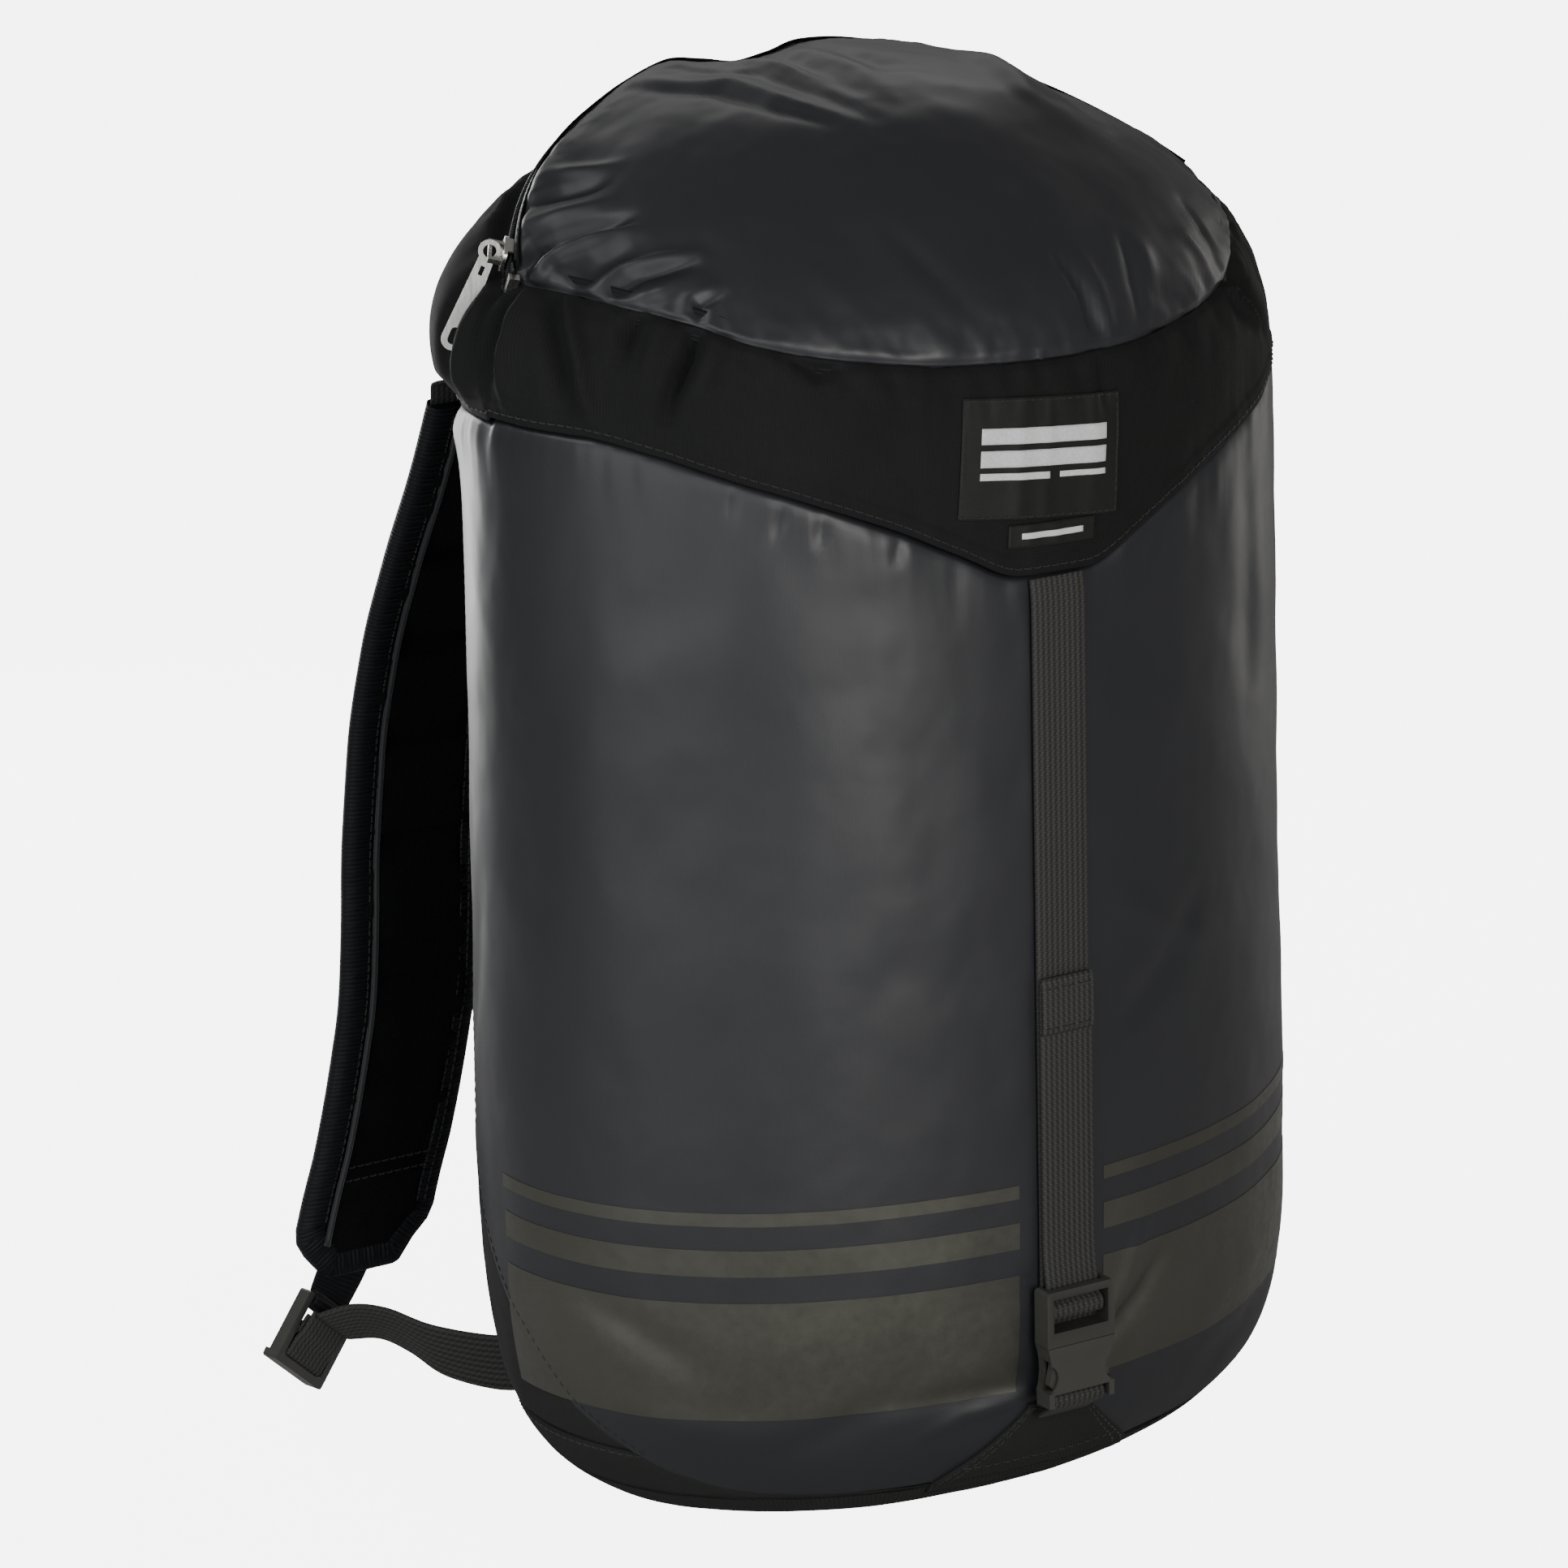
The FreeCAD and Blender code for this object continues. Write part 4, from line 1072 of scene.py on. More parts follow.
# ---------------------------------------------------------------- flat straps
def through(points, count):
    """A smooth line through points (Catmull-Rom), evenly spaced."""
    p = np.array(points, float)
    p = np.concatenate([2 * p[:1] - p[1:2], p, 2 * p[-1:] - p[-2:-1]])
    out = []
    for i in range(1, len(p) - 2):
        for t in np.linspace(0, 1, 24, endpoint=False):
            out.append(0.5 * (2 * p[i] + (p[i + 1] - p[i - 1]) * t
                              + (2 * p[i - 1] - 5 * p[i] + 4 * p[i + 1] - p[i + 2]) * t * t
                              + (3 * p[i] - p[i - 1] - 3 * p[i + 1] + p[i + 2]) * t ** 3))
    out.append(p[-2])
    out = np.array(out)
    s = arc_length(out[:, :3])
    return sample(np.linspace(0, s[-1], count), s, out)


def ribbon(name, centres, across, width, thick, step=1.2):
    """Flat webbing along centre points, with rolled edges; across is the direction of its width."""
    rows = np.concatenate([np.array(centres, float), np.array(across, float)], 1)
    length = np.linalg.norm(np.diff(rows[:, :3], axis=0), axis=1).sum()
    rows = through(rows, max(8, int(length / step)))
    line, side = rows[:, :3], rows[:, 3:]
    side = unit(side)
    normal = unit(np.cross(side, np.gradient(line, axis=0)))
    u = np.array([-1, -0.985, -0.93, -0.6, -0.2, 0.2, 0.6, 0.93, 0.985, 1.0])
    half = thick / 2
    rise = half * np.array([0.0, 0.62, 0.96, 1, 1.04, 1.04, 1, 0.96, 0.62, 0.0])
    flat = line[:, None] + side[:, None] * (u * width / 2)[None, :, None]
    rise = normal[:, None] * rise[None, :, None]
    ring = np.concatenate([flat + rise, (flat - rise)[:, -2:0:-1]], 1)
    sides = ring.shape[1]
    across_cloth = np.concatenate([u, u[-2:0:-1]]) * width / 20
    uv = np.stack(np.meshgrid(across_cloth, arc_length(line) / 10), -1).reshape(-1, 2)
    return mesh_piece(name, ring.reshape(-1, 3), tube_faces(len(line), sides), uv), line, normal, side


def yz_ribbon(name, route, width, thick):
    """Webbing along a route of (y, z) points, straight across X."""
    centres = [(0, y, z) for y, z in route]
    return ribbon(name, centres, [(1, 0, 0)] * len(route), width, thick, 0.8)[0]


def patch(name, corners_low, corners_high, tree, lift, rows=40, cols=40, thick=None):
    """A piece laid on the sack between two lines of (x, z) points, left line and right line."""
    left, right = (through([(x, 0, z) for x, z in line], rows) for line in (corners_low, corners_high))
    grid = np.zeros((rows, cols, 3))
    for r in range(rows):
        for c, t in enumerate(np.linspace(0, 1, cols)):
            x, _, z = left[r] * (1 - t) + right[r] * t
            grid[r, c] = lay_on(tree, front_angle(x, z), z, lift)[0]
    if left[0][2] > left[-1][2]:
        grid = grid[::-1]
    piece = grid_piece(name, grid)
    return (thicken(piece, thick) if thick else piece), grid


class SACK_OT_front_strap(bpy.types.Operator):
    """Strap down the front with its turned end, hem and stitches, and the loop below the buckle"""
    bl_idname = "sack.front_strap"
    bl_label = "Front strap"

    def execute(self, context):
        sizes = context.scene.sack_sizes
        route = [(-103.6, 314), (-104.4, 309), (-104.7, 300), (-104.75, 250), (-104.7, 180), (-104.7, 120),
                 (-104.6, 63.5)]
        web = yz_ribbon("front_strap_web", route, sizes.web, 1.3)
        dress(web, "webbing", "sack", ["front_strap"])
        tail = [(-107.45, 74.4), (-107.5, 72.6), (-107.9, 71.2), (-109.3, 70.75), (-110.8, 71.2),
                (-111.35, 72.6), (-111.35, 73.6), (-110.8, 75.0), (-109.5, 75.7), (-108.5, 77.0),
                (-108.2, 79.5), (-107.4, 84.5), (-106.7, 90), (-106.45, 97), (-106.4, 120),
                (-106.4, 150), (-106.4, 178), (-106.6, 183)]
        web = yz_ribbon("front_strap_tail", tail, sizes.web, 1.2)
        dress(web, "webbing", "buckle_plug", ["strap_tail"])
        fold = [(-106.9, 165.6), (-107.7, 167), (-107.75, 175), (-107.6, 181.5), (-107.0, 183.8),
                (-106.3, 182.5)]
        web = yz_ribbon("front_strap_hem", fold, sizes.web - 0.3, 1.1)
        dress(web, "webbing", "buckle_plug", ["strap_hem"])
        x = np.linspace(-9.2, 9.2, 24)
        rows = [(np.stack([x, np.full(24, -108.35), np.full(24, z)], -1), np.tile([0, -1.0, 0], (24, 1)))
                for z in (167.6, 180.8)]
        sew("hem_stitches", rows, "buckle_plug", 2.0, 0.7)
        loop = [(-101.9, 39.3), (-103.6, 40.0), (-105.8, 41.0), (-106.7, 42.4), (-106.95, 43.6),
                (-107.9, 44.7), (-109.1, 44.95), (-110.3, 44.7), (-111.25, 43.6), (-111.3, 42.3),
                (-110.4, 40.6), (-107.4, 38.9), (-104.5, 37.0), (-101.9, 35.0)]
        web = yz_ribbon("buckle_loop_web", loop, sizes.web, 1.15)
        dress(web, "webbing", "sack", ["buckle_loop"])
        self.base_tab()
        return {"FINISHED"}

    def base_tab(self):
        """Cloth tab that runs up from the base under the buckle loop."""
        tree = tree_of("front_cloth", "base_cloth")
        left = [(-38, 8.5), (-36.5, 13), (-24, 24), (-11.5, 36.5), (-11.2, 38.2)]
        right = [(-x, z) for x, z in left]
        tab, grid = patch("base_tab_cloth", left, right, tree, 1.0, 44, 40, 1.2)
        dress(tab, "base cloth", "sack", ["base_tab"])
        normals = grid_normals(grid, False)
        places = [(slice(3, -1), col) for col in (1, 3, -2, -4)] + [(row, slice(1, -1)) for row in (-3, 12)]
        sew("base_tab_stitches", [(grid[at], normals[at]) for at in places], radius=0.24)


class SACK_OT_print(bpy.types.Operator):
    """Plain printed bands round the body"""
    bl_idname = "sack.print"
    bl_label = "Print"

    def execute(self, context):
        tree = tree_of("front_cloth")
        # Lowest height and width of each band; all are broken where the strap runs.
        bands = {"print_band": (44.0, 41.0), "print_stripe": (94.0, 9.0), "print_line": (111.0, 4.5)}
        for name, (low, wide) in bands.items():
            heights = np.linspace(low, low + wide, max(4, int(wide / 1.5)))
            for side, start, end, cols in (("_left", -93, -6.5, 150), ("_right", 6.5, 80, 128)):
                angles = np.radians(np.linspace(start, end, cols))
                grid = np.array([[lay_on(tree, a, z, PRINT_LIFT)[0] for a in angles] for z in heights])
                dress(grid_piece(name + side, grid), "print", "sack")
        return {"FINISHED"}


class SACK_OT_labels(bpy.types.Operator):
    """Sewn label and size tag on the yoke, with plain bars"""
    bl_idname = "sack.labels"
    bl_label = "Labels"

    def execute(self, context):
        tree = tree_of("yoke_cloth")
        label = (-3, 352, -5.5)
        tag = (-1, 327.8, -2.5)
        self.badge("label_cloth", label, tree, (-29, -19, 29, 19), 0.75, "label cloth", "label_patch")
        self.badge("size_tag_cloth", tag, tree, (-16, -3.7, 16, 3.7), 0.7, "label cloth", "size_tag")
        marks = {
            "label_bar_top": (label, (-22.5, 4.6, 23.5, 9.6)),
            "label_bar_wide": (label, (-22.5, -2.6, 23.5, 2.6)),
            "label_bar_middle": (label, (-22.5, -6.6, 2.0, -4.4)),
            "label_bar_short": (label, (6.0, -6.4, 23.5, -4.6)),
            "size_tag_bar": (tag, (-11.5, -0.9, 11.5, 1.0)),
        }
        for name, (place, box) in marks.items():
            self.badge(name, place, tree, box, 0.98, "label mark", None, 0.2)
        return {"FINISHED"}

    def badge(self, name, place, tree, box, lift, key, node, thick=0.6):
        """A flat sewn rectangle on the yoke; place is its centre and tilt, box its corners round it."""
        x0, z0, x1, z1 = box
        cx, cz, tilt = place
        turn = math.radians(tilt)
        rows, cols = max(6, int((z1 - z0) * 1.2)), max(8, int((x1 - x0) * 1.2))
        grid = np.zeros((rows, cols, 3))
        for r, z in enumerate(np.linspace(z0, z1, rows)):
            for c, x in enumerate(np.linspace(x0, x1, cols)):
                px = cx + x * math.cos(turn) - z * math.sin(turn)
                pz = cz + x * math.sin(turn) + z * math.cos(turn)
                wave = 0.45 * math.exp(-((x + 9) / 3.0) ** 2) + 0.4 * math.exp(-((x - 1) / 2.6) ** 2)
                wave += 0.5 * math.exp(-((x - 19) / 3.5) ** 2)
                grid[r, c] = lay_on(tree, front_angle(px, pz), pz, lift + wave)[0]
        piece = thicken(grid_piece(name, grid), thick)
        dress(piece, key, "sack", [node] if node else ())
        if node == "label_patch":
            sew("label_stitches", border_rows(grid, 1, slice(None)), "sack", 2.0, 0.8, 0.22)


# ---------------------------------------------------------------- shoulder straps
STRAP_LINE = [(99, 346), (108, 320), (122, 288), (134, 254), (139.5, 220), (140, 190), (137.5, 155),
              (137, 130), (136.5, 100), (136, 75), (135.5, 48)]
STRAP_SIDE = [(346, -81), (300, -86), (250, -91), (200, -96), (160, -100), (134, -102.6), (117, -106),
              (84, -114.5), (68, -120), (48, -126)]
STRAP_Y = smooth_table([(z, y) for y, z in STRAP_LINE[::-1]])
STRAP_X = smooth_table(STRAP_SIDE[::-1])
STRAP_HALF = 26.0
STRAP_LOW = 39.5
STRAP_HIGH = 345.0
PAD_ROWS, PAD_SIDES = 120, 36
PAD_HALF_THICK = 2.9
PAD_SEAM = 75.2                 # height of the sewn channel across the pad
RIDGE_ACROSS, RIDGE_OUT = -15.5, -4.15
LOCK_AT = np.array([-140.5, 133.5, 29.0])
LOCK_ACROSS = np.array([0.72, 0.215, -0.66])
LOCK_ACROSS = LOCK_ACROSS / np.linalg.norm(LOCK_ACROSS)
LOCK_ALONG = np.array([-0.64, -0.153, -0.75])
LOCK_ALONG = LOCK_ALONG - LOCK_ACROSS * (LOCK_ALONG @ LOCK_ACROSS)
LOCK_ALONG = LOCK_ALONG / np.linalg.norm(LOCK_ALONG)
LOCK_UP = np.cross(LOCK_ACROSS, LOCK_ALONG)


def strap_point(u, z, w):
    """Point of the left shoulder strap: across, height, distance outwards from its middle."""
    u, z, w = np.broadcast_arrays(*(np.asarray(k, float) for k in (u, z, w)))
    slope = (STRAP_Y(z + 0.5) - STRAP_Y(z - 0.5))
    size = np.hypot(1, slope)
    return np.stack([STRAP_X(z) + u, STRAP_Y(z) + w / size, z - w * slope / size], -1)


def half_width(z):
    """Half width of the pad inside its binding, with the cut corners."""
    return np.minimum(STRAP_HALF - 2.2, 10.5 + 1.15 * (z - STRAP_LOW - 1.2))


def rear_patch(name, tree, across, heights, angle, lift, sign, thick):
    """Cloth laid on the back; angle turns a value of across and a height into an angle round the sack."""
    grid = np.array([[lay_on(tree, angle(a, z), z, lift)[0] for a in across] for z in heights])
    grid[:, :, 0] *= sign
    if grid[0, 0, 0] < grid[0, -1, 0]:
        grid = grid[:, ::-1]
    return thicken(grid_piece(name, grid), thick), grid


def mirrored(points, sign):
    """The same points, or those of the other side where sign is -1."""
    return [(x * sign, y, z) for x, y, z in points]


def mirrored_ways(ways, sign):
    """Directions across a strap for either side, turned so that its outer face stays outside."""
    return [(x, y * sign, z * sign) for x, y, z in ways]


def mirror_piece(piece, name):
    """The same piece for the right side."""
    mesh = piece.data.copy()
    mesh.name = name
    mesh.transform(Matrix.Scale(-1, 4, (1, 0, 0)))
    mesh.flip_normals()
    made = bpy.data.objects.new(name, mesh)
    bpy.context.scene.collection.objects.link(made)
    return made


def swell(piece, pin, pressure, limit_mm):
    """Lets a closed pad swell under pressure, with the pinned points held, and keeps the result."""
    count = len(piece.data.vertices)
    before = np.zeros(count * 3)
    piece.data.vertices.foreach_get("co", before)
    group = piece.vertex_groups.new(name="held")
    for i in np.flatnonzero(pin):
        group.add([int(i)], 1.0, "REPLACE")
    cloth = piece.modifiers.new("swell", "CLOTH")
    cloth.settings.quality = 6
    cloth.settings.mass = 0.3
    cloth.settings.tension_stiffness = cloth.settings.compression_stiffness = 18
    cloth.settings.shear_stiffness = 8
    cloth.settings.bending_stiffness = 0.6
    cloth.settings.use_pressure = True
    cloth.settings.uniform_pressure_force = pressure
    cloth.settings.vertex_group_mass = "held"
    cloth.settings.effector_weights.gravity = 0
    cloth.settings.shrink_min = -0.035
    cloth.collision_settings.use_collision = False
    scene = bpy.context.scene
    for step in range(1, 16):
        scene.frame_set(step)
    depsgraph = bpy.context.evaluated_depsgraph_get()
    solved = piece.evaluated_get(depsgraph).to_mesh()
    after = np.zeros(count * 3)
    solved.vertices.foreach_get("co", after)
    piece.evaluated_get(depsgraph).to_mesh_clear()
    piece.modifiers.remove(cloth)
    piece.vertex_groups.remove(group)
    scene.frame_set(1)
    move = (after - before).reshape(-1, 3)
    size = np.linalg.norm(move, axis=1, keepdims=True)
    if not np.isfinite(size).all():
        raise RuntimeError("the pad's simulation blew up")
    limit = limit_mm * MM
    move *= limit / np.maximum(size, limit)
    piece.data.vertices.foreach_set("co", (before.reshape(-1, 3) + move).ravel())
    piece.data.update()


class SACK_OT_shoulder_straps(bpy.types.Operator):
    """Padded shoulder straps with their binding, ridge, seams and upper anchors"""
    bl_idname = "sack.shoulder_straps"
    bl_label = "Shoulder straps"

    def execute(self, context):
        sizes = context.scene.sack_sizes
        left = {}
        left["strap_pad"] = self.pad(sizes)
        left["strap_binding_tape"] = self.binding()
        ridge = strap_point(RIDGE_ACROSS, np.linspace(344, 52, 120), RIDGE_OUT)
        left["strap_ridge"] = mesh_piece("strap_ridge", *tube_mesh(ridge, 6, 1.0))
        rows = []
        lines = [(np.linspace(-17, 18, 30), z) for z in (73.0, 77.5)]
        lines += [(u, np.linspace(342, 60, 160)) for u in (-17.6, 17.6, 20.6)]
        for u, z in lines:
            for face in (-3.5, 3.5):
                line = strap_point(u, z, face)
                rows.append((line, unit(line - strap_point(u, z, 0))))
        left["strap_stitches"] = stitches("strap_stitches", rows, 2.2, 0.8, 0.28)
        nodes = {"strap_pad": ["strap_foam", "strap_cover", "strap_lining"],
                 "strap_binding_tape": ["strap_binding"]}
        looks = {"strap_pad": ("strap cloth", "mesh_black"), "strap_binding_tape": ("binding", "binding"),
                 "strap_ridge": ("ridge", "binding"), "strap_stitches": ("thread", None)}
        for name, piece in left.items():
            right = mirror_piece(piece, name + "_right")
            piece.name = name + "_left"
            for made, side in ((piece, "left"), (right, "right")):
                key, slot = looks[name]
                stood = [n + "_" + side for n in nodes.get(name, [])]
                dress(made, key, "shoulder_" + side, stood)
        self.anchors()
        return {"FINISHED"}

    def pad(self, sizes):
        """Closed foam pad, thin at its edges."""
        z = np.concatenate([[STRAP_LOW + 1.2, STRAP_LOW + 1.5],
                            np.linspace(STRAP_LOW + 3, STRAP_HIGH - 2, PAD_ROWS),
                            [STRAP_HIGH - 0.8, STRAP_HIGH - 0.5]])
        ends = np.array([0.06, 0.7] + [1.0] * PAD_ROWS + [0.7, 0.06])
        a = np.linspace(0, 2 * math.pi, PAD_SIDES, endpoint=False)
        across = np.sign(np.cos(a)) * np.abs(np.cos(a)) ** 0.45
        thick = np.sign(np.sin(a)) * np.abs(np.sin(a)) ** 0.6
        level = z[:, None] + 0 * a
        u = half_width(level) * across
        channel = np.exp(-((level - PAD_SEAM) / 2.0) ** 2)
        w = PAD_HALF_THICK * thick * ends[:, None] * (1 - 0.35 * channel)
        grid = strap_point(u, level, w)
        down = arc_length(grid[:, PAD_SIDES // 4]) / 10
        uv = np.stack([u / 10, np.broadcast_to(down[:, None], u.shape)], -1).reshape(-1, 2)
        piece = mesh_piece("strap_pad", grid.reshape(-1, 3), tube_faces(len(z), PAD_SIDES), uv)
        held = (np.abs(u) > 0.82 * half_width(level)) | (level < 56) | (level > 340) | (channel > 0.3)
        swell(piece, held.ravel(), sizes.puff, 1.8)
        return piece

    def binding(self):
        """Tape folded round both long edges and the lower end, drawn into ribs by its stitches."""
        corners = [(-26, 345), (-26, 200), (-26, 58), (-24.6, 53), (-14.4, 40.4), (-12, 39.5), (12, 39.5),
                   (14.4, 40.4), (24.6, 53), (26, 58), (26, 200), (26, 345)]
        path = along(np.array([(u, 0, z) for u, z in corners], float), 1500)
        u, z = path[:, 0], path[:, 2]
        way = unit(np.gradient(path, axis=0))
        inward = np.stack([-way[:, 2], way[:, 0]], -1)
        inset = np.array([8.6, 8.0, 4.0, 1.0, 0.0, -0.25, 0.0, 1.0, 4.0, 8.0, 8.6])
        height = np.array([2.9, 3.3, 3.35, 3.0, 1.5, 0.0, -1.5, -3.0, -3.35, -3.3, -2.9])
        s = np.linspace(0, 1, len(u)) * (2 * 296 + 50)
        rib = 0.22 * np.cos(2 * math.pi * s / 1.9)[:, None] * (np.abs(height) > 3.2)
        grid = strap_point(u[:, None] + inward[:, :1] * inset, z[:, None] + inward[:, 1:] * inset,
                           height + rib * np.sign(height))
        return grid_piece("strap_binding_tape", grid[:, ::-1])

    def anchors(self):
        """Folded webbing that carries each strap on the back of the sack."""
        tree = tree_of("back_cloth", "yoke_cloth")
        for sign, side in ((1, "left"), (-1, "right")):
            piece, grid = rear_patch("strap_anchor_web_" + side, tree, np.linspace(-107.5, -54.5, 44),
                                     np.linspace(350.6, 372.5, 26), rear_angle, 1.3, sign, 1.3)
            dress(piece, "webbing", "sack", ["strap_anchor_" + side])
            rows = border_rows(grid, 2, slice(2, -2))
            steps = np.linspace(0, 1, 30)
            for start, way in ((2, 21), (23, -21)):
                line = np.array([grid[int(start + k * way), int(2 + k * 39)] for k in steps])
                rows.append((line, np.broadcast_to([0, 1.0, 0], line.shape)))
            sew("strap_anchor_stitches_" + side, rows)
            top = [(-81 * sign, 97.0, 352.6), (-81 * sign, 99.6, 351.6), (-81 * sign, 100.0, 349.4),
                   (-81 * sign, 100.6, 345.0), (-81.6 * sign, 103.4, 338.0)]
            fold = ribbon("strap_root_web_" + side, top, [(1, 0, 0)] * 5, 50, 1.3)[0]
            dress(fold, "webbing", None)
            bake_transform(fold)


class SACK_OT_adjusters(bpy.types.Operator):
    """Webbing at the ladder locks: strap stub, turned webbing, lower webbing and its anchor"""
    bl_idname = "sack.adjusters"
    bl_label = "Adjusters"

    def execute(self, context):
        sizes = context.scene.sack_sizes
        top = (-126.4, 136.9, 60.0)
        stub = [top, (-127.8, 136.4, 50.0), (-132.0, 136.2, 41.5)]
        wide = [(1, 0, 0.1), (0.97, 0.04, -0.16), (0.9, 0.1, -0.4)]
        for k in range(9):
            a = math.radians(-205 + 270 * k / 8)
            stub.append(tuple(LOCK_AT + LOCK_ALONG * 2.75 * math.cos(a) + LOCK_UP * 2.75 * math.sin(a)))
            wide.append(tuple(LOCK_ACROSS))
        turn = [(5.6, -2.8), (7.0, -2.35), (9.4, -2.2), (11.5, -1.9), (13.0, 0.0), (13.8, 1.7), (16.4, 2.4),
                (20.0, 1.8), (21.2, 0.0), (20.0, -1.9), (16.4, -2.4), (14.0, -2.9), (11.5, -3.9),
                (8.5, -4.3), (4.0, -4.6)]
        turned = [tuple(LOCK_AT + LOCK_ALONG * a + LOCK_UP * b) for a, b in turn]
        start = tuple(LOCK_AT + LOCK_ALONG * 5.0 - LOCK_UP * 6.3)
        lower = [start, (-133.5, 118.5, 27.5), (-128, 106, 27.0), (-122, 90, 23.5), (-110, 74, 21.5),
                 (-98.5, 66.0, 21.8), (-91.0, 63.5, 22.0)]
        lower_wide = [tuple(LOCK_ACROSS), (0.62, 0.10, -0.78), (0.45, 0.0, -0.9), (0.25, 0.0, -0.97),
                      (0.08, 0, -1), (0, 0, -1), (0, 0, -1)]
        anchor = tree_of("base_cloth", "back_cloth")
        for sign, side in ((1, "left"), (-1, "right")):
            web = ribbon("strap_stub_web_" + side, mirrored(stub, sign), mirrored_ways(wide, sign),
                         sizes.web, 1.3, 0.7)[0]
            dress(web, "binding", "shoulder_" + side, ["strap_stub_" + side])
            web = ribbon("lock_turned_web_" + side, mirrored(turned, sign),
                         mirrored_ways([tuple(LOCK_ACROSS)] * 15, sign), sizes.web, 1.1, 0.6)[0]
            dress(web, "webbing", "lock_" + side, ["lock_web_" + side])
            web = ribbon("lower_strap_web_" + side, mirrored(lower, sign),
                         mirrored_ways(lower_wide, sign), sizes.web, 1.3)[0]
            dress(web, "webbing", None, ["lower_web_" + side])
            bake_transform(web)
            piece, grid = rear_patch("lower_anchor_cloth_" + side, anchor, np.linspace(0, 1, 24),
                                     np.linspace(9.5, 35, 22), lambda t, z: math.radians(127 + 13 * t),
                                     1.4, -sign, 1.2)
            dress(piece, "base cloth", "sack", ["lower_anchor_" + side])
            sew("lower_anchor_stitches_" + side, border_rows(grid, 1, slice(1, -1))[2:])
        return {"FINISHED"}


HANDLE_WIDTH = 16


class SACK_OT_handle(bpy.types.Operator):
    """Grab handle at the top of the back and its two sewn ends"""
    bl_idname = "sack.handle"
    bl_label = "Grab handle"

    def execute(self, context):
        arc = [(-45, 104.4), (-40, 106.5), (-30, 112.5), (-15, 118.0), (0, 120.0), (15, 118.0), (30, 112.5),
               (40, 106.5), (45, 104.4)]
        centres = [(x, y, 380) for x, y in arc]
        web, line, normal, side = ribbon("handle_web", centres, [(0, 0, 1)] * 9, HANDLE_WIDTH, 2.0)
        dress(web, "webbing", "handle", ["haul_loop"])
        rows = [(line + side * across + normal * face, normal * face)
                for across in (-6.3, 6.3) for face in (-1, 1)]
        sew("handle_stitches", rows, "handle")
        tree = tree_of("yoke_cloth", "back_cloth")
        for sign, name in ((-1, "left"), (1, "right")):
            piece, grid = rear_patch("handle_anchor_web_" + name, tree, np.linspace(44.5, 62, 20),
                                     np.linspace(366, 394, 26), rear_angle, 1.2, sign, 1.2)
            dress(piece, "webbing", "sack", ["haul_anchor_" + name])
            sew("handle_anchor_stitches_" + name, border_rows(grid, 2, slice(2, -2)))
            end = mirrored([(61, 92.5, 380), (54, 96.6, 380), (48, 101.4, 380), (44.4, 104.6, 380)], sign)
            stub = ribbon("handle_end_web_" + name, end, [(0, 0, 1)] * 4, HANDLE_WIDTH, 1.8)[0]
            dress(stub, "webbing", "sack")
        return {"FINISHED"}


class SACK_OT_hardware(bpy.types.Operator):
    """Finish of the buckle, the ladder locks and the zip's metal parts"""
    bl_idname = "sack.hardware"
    bl_label = "Hardware"

    def execute(self, context):
        plastic = ["buckle_male", "buckle_female", "wing_left", "wing_right", "ladder_lock_left",
                   "ladder_lock_right"]
        for name in plastic + ["zip_slider", "zip_pull", "zip_stops"]:
            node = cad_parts[name]
            node.data.materials.clear()
            node.data.materials.append(material("plastic" if name in plastic else "nickel"))
            node.data.polygons.foreach_set("use_smooth", [True] * len(node.data.polygons))
            rounded = node.modifiers.new("rounded edges", "BEVEL")
            rounded.width = (0.45 if name in plastic else 0.28) * MM
            rounded.segments = 2
            rounded.limit_method = "ANGLE"
            rounded.angle_limit = math.radians(32)
            rounded.harden_normals = True
        return {"FINISHED"}


# ---------------------------------------------------------------- studio
CAMERA_AIM = Vector((0, 0, 0.225))
CAMERA_ROLL = -1.1              # degrees
CAMERA_SHIFT = (-0.0606, -0.0070)
FLOOR_HALF = 9000
FLOOR_GLOW = 6.0                # only where the camera sees the floor


def towards(azimuth, elevation):
    """Direction at an angle round the sack from its front and an angle above the floor."""
    a, e = math.radians(azimuth), math.radians(elevation)
    return Vector((math.sin(a) * math.cos(e), -math.cos(a) * math.cos(e), math.sin(e)))


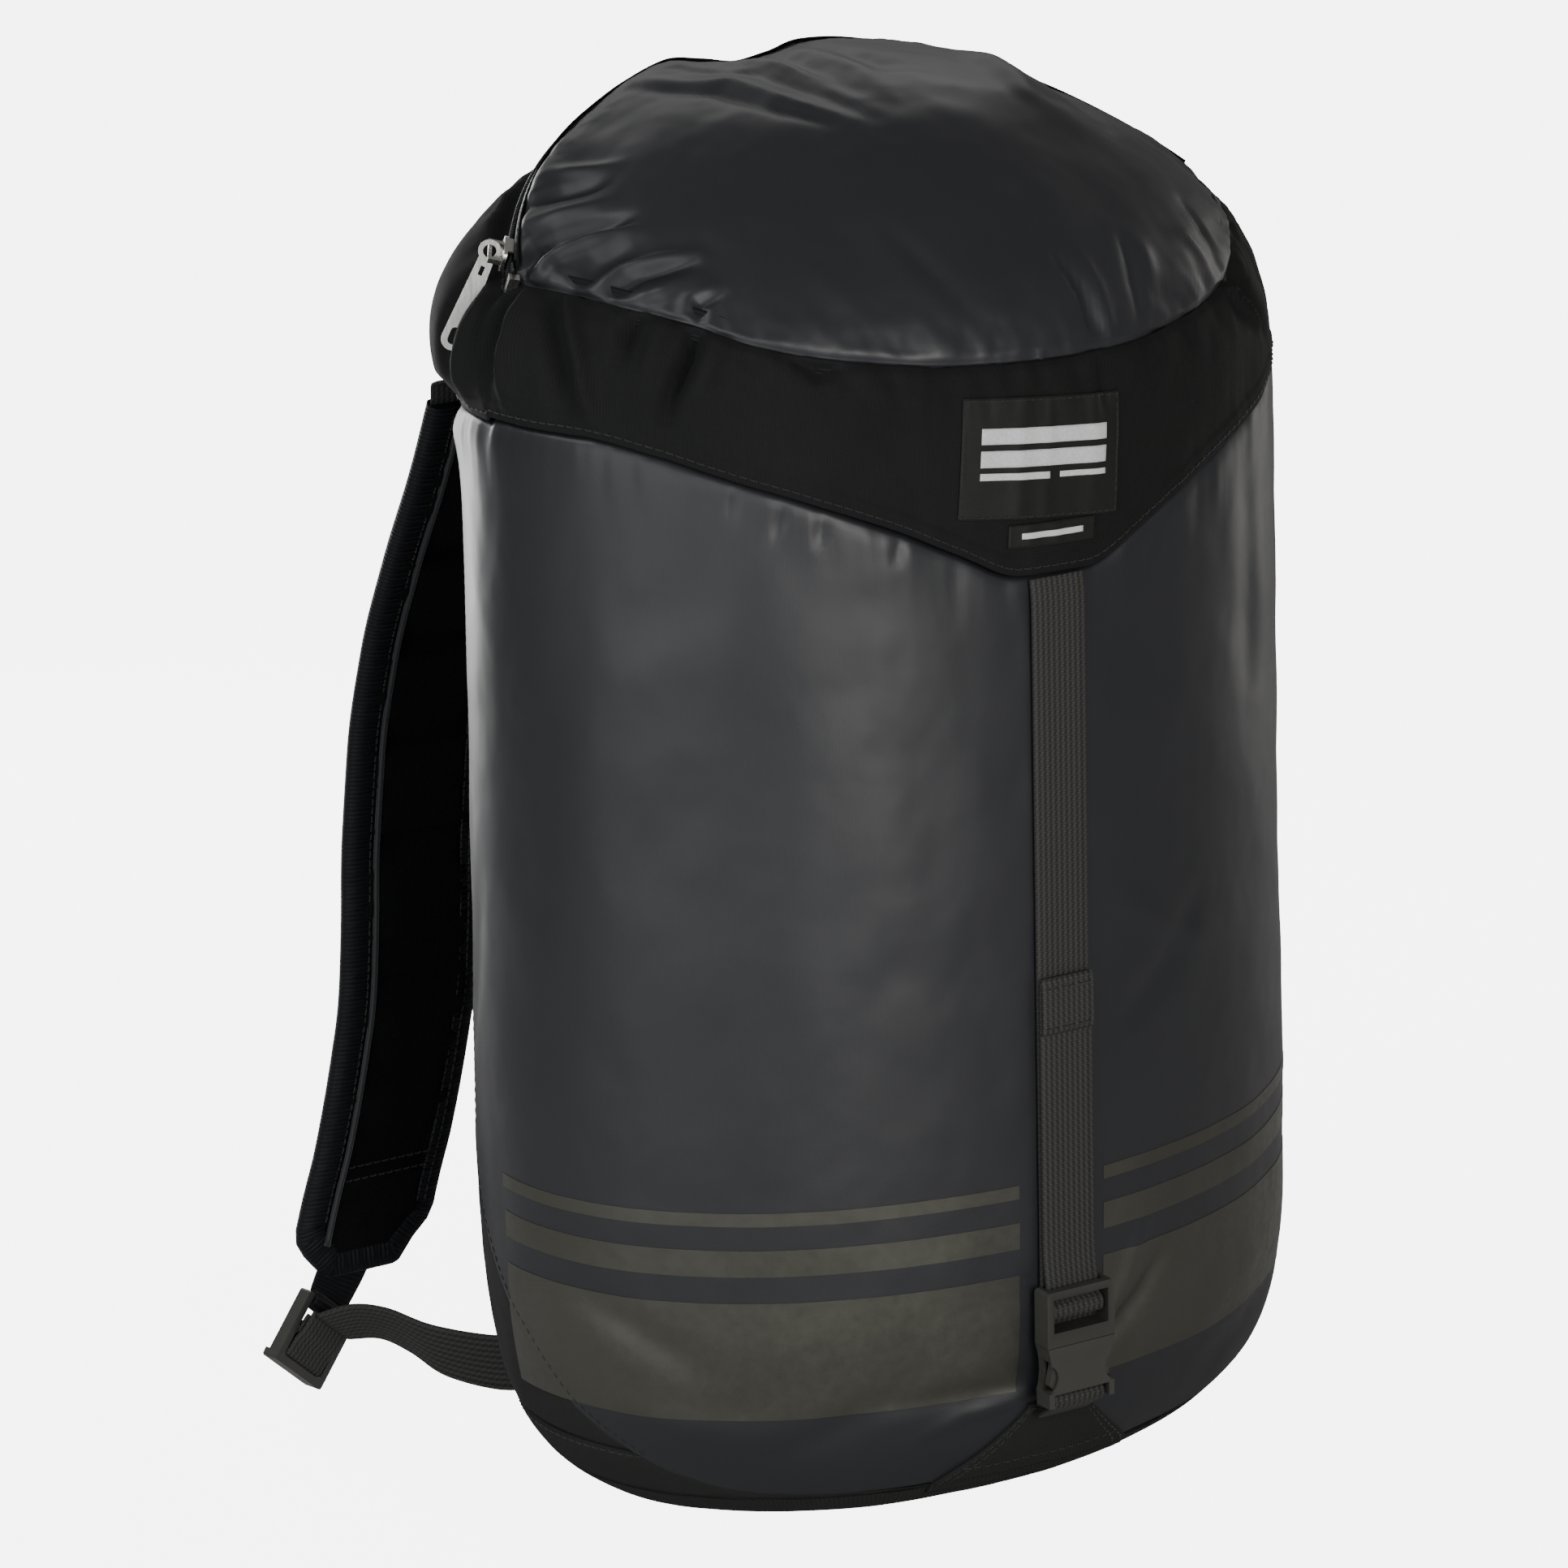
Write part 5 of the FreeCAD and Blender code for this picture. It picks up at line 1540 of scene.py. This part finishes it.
class SACK_OT_stage(bpy.types.Operator):
    """Pale floor, soft lights and the camera"""
    bl_idname = "sack.stage"
    bl_label = "Stage"

    def execute(self, context):
        scene = context.scene
        studio = scene.studio
        corners = [(x * FLOOR_HALF, y * FLOOR_HALF, 0) for x, y in ((-1, -1), (1, -1), (1, 1), (-1, 1))]
        floor = mesh_piece("floor", corners, [(0, 1, 2, 3)])
        paper = Graph("pale paper", (0.5, 0.5, 0.5), 0.9, Specular_IOR_Level=0.1)
        paper.mix_colour(paper.noise(3.0), (0.49, 0.49, 0.49), (0.51, 0.51, 0.51))
        seen = paper.add("ShaderNodeLightPath").outputs["Is Camera Ray"]
        paper.shader.inputs["Emission Color"].default_value = (1, 1, 1, 1)
        paper.links.new(paper.math("MULTIPLY", seen, FLOOR_GLOW), paper.shader.inputs["Emission Strength"])
        floor.data.materials.append(paper.material)
        world = bpy.data.worlds.new("studio")
        scene.world = world
        world.use_nodes = True
        world.node_tree.nodes["Background"].inputs["Color"].default_value = (1, 1, 1, 1)
        world.node_tree.nodes["Background"].inputs["Strength"].default_value = 0.16 * studio.light
        middle = Vector((0, 0, 0.22))
        # azimuth, elevation, distance, width, height, power, colour
        lamps = {
            "front left": (-64, 11, 1.15, 0.95, 0.85, 4.5, (0.93, 0.97, 1.0)),
            "front": (-10, 11, 1.4, 0.55, 0.95, 9.0, (1.0, 0.99, 0.96)),
            "back left": (-174, 8, 1.0, 0.35, 0.75, 6.0, (1, 1, 1)),
            "back right": (98, 8, 1.1, 0.35, 0.75, 1.4, (1.0, 0.98, 0.93)),
            "left top": (-100, 48, 1.6, 0.7, 0.4, 4.0, (1, 1, 1)),
            "back top": (150, 33, 1.3, 0.9, 0.35, 0.9, (1, 1, 1)),
        }
        for name, (azimuth, elevation, distance, wide, high, power, colour) in lamps.items():
            light = bpy.data.lights.new(name, "AREA")
            light.shape = "RECTANGLE"
            light.size = wide
            light.size_y = high
            light.energy = power * studio.light
            light.color = colour
            lamp = bpy.data.objects.new(name, light)
            scene.collection.objects.link(lamp)
            out = towards(azimuth, elevation)
            lamp.location = middle + out * distance
            lamp.rotation_euler = (-out).to_track_quat("-Z", "Y").to_euler()
        self.camera(scene, studio)
        return {"FINISHED"}

    def camera(self, scene, studio):
        """The view of the sack from its left front."""
        lens = bpy.data.cameras.new("camera")
        lens.lens = studio.lens
        lens.sensor_width = 36
        lens.shift_x, lens.shift_y = CAMERA_SHIFT
        lens.clip_end = 60
        camera = bpy.data.objects.new("camera", lens)
        scene.collection.objects.link(camera)
        out = towards(studio.azimuth, studio.elevation)
        camera.location = CAMERA_AIM + out * studio.distance
        roll = Matrix.Rotation(math.radians(CAMERA_ROLL), 4, "Z")
        turn = (-out).to_track_quat("-Z", "Y").to_matrix().to_4x4() @ roll
        camera.rotation_euler = turn.to_euler()
        scene.camera = camera


class SACK_PT_panel(bpy.types.Panel):
    """Lists the sack's pieces, sizes and colours"""
    bl_idname = "SACK_PT_panel"
    bl_label = "Compression sack"
    bl_space_type = "VIEW_3D"
    bl_region_type = "UI"
    bl_category = "Sack"

    def draw(self, context):
        layout = self.layout
        for operator in OPERATORS:
            layout.operator(operator.bl_idname)
        for group in (context.scene.sack_sizes, context.scene.sack_colours, context.scene.studio):
            box = layout.box()
            for key in group.__annotations__:
                box.prop(group, key)


OPERATORS = (SACK_OT_stage, SACK_OT_panels, SACK_OT_yoke, SACK_OT_lid, SACK_OT_zip, SACK_OT_front_strap,
             SACK_OT_print, SACK_OT_labels, SACK_OT_shoulder_straps, SACK_OT_adjusters, SACK_OT_handle,
             SACK_OT_hardware)
CLASSES = (SackColours, SackSizes, StudioSettings) + OPERATORS + (SACK_PT_panel,)


def register():
    for made in CLASSES:
        bpy.utils.register_class(made)
    bpy.types.Scene.sack_colours = PointerProperty(type=SackColours)
    bpy.types.Scene.sack_sizes = PointerProperty(type=SackSizes)
    bpy.types.Scene.studio = PointerProperty(type=StudioSettings)


def unregister():
    del bpy.types.Scene.studio
    del bpy.types.Scene.sack_sizes
    del bpy.types.Scene.sack_colours
    for made in reversed(CLASSES):
        bpy.utils.unregister_class(made)


def main():
    register()
    for operator in OPERATORS:
        group, name = operator.bl_idname.split(".")
        result = getattr(getattr(bpy.ops, group), name)()
        if result != {"FINISHED"}:
            raise RuntimeError("%s did not finish" % operator.bl_label)


if __name__ == "__main__":
    main()
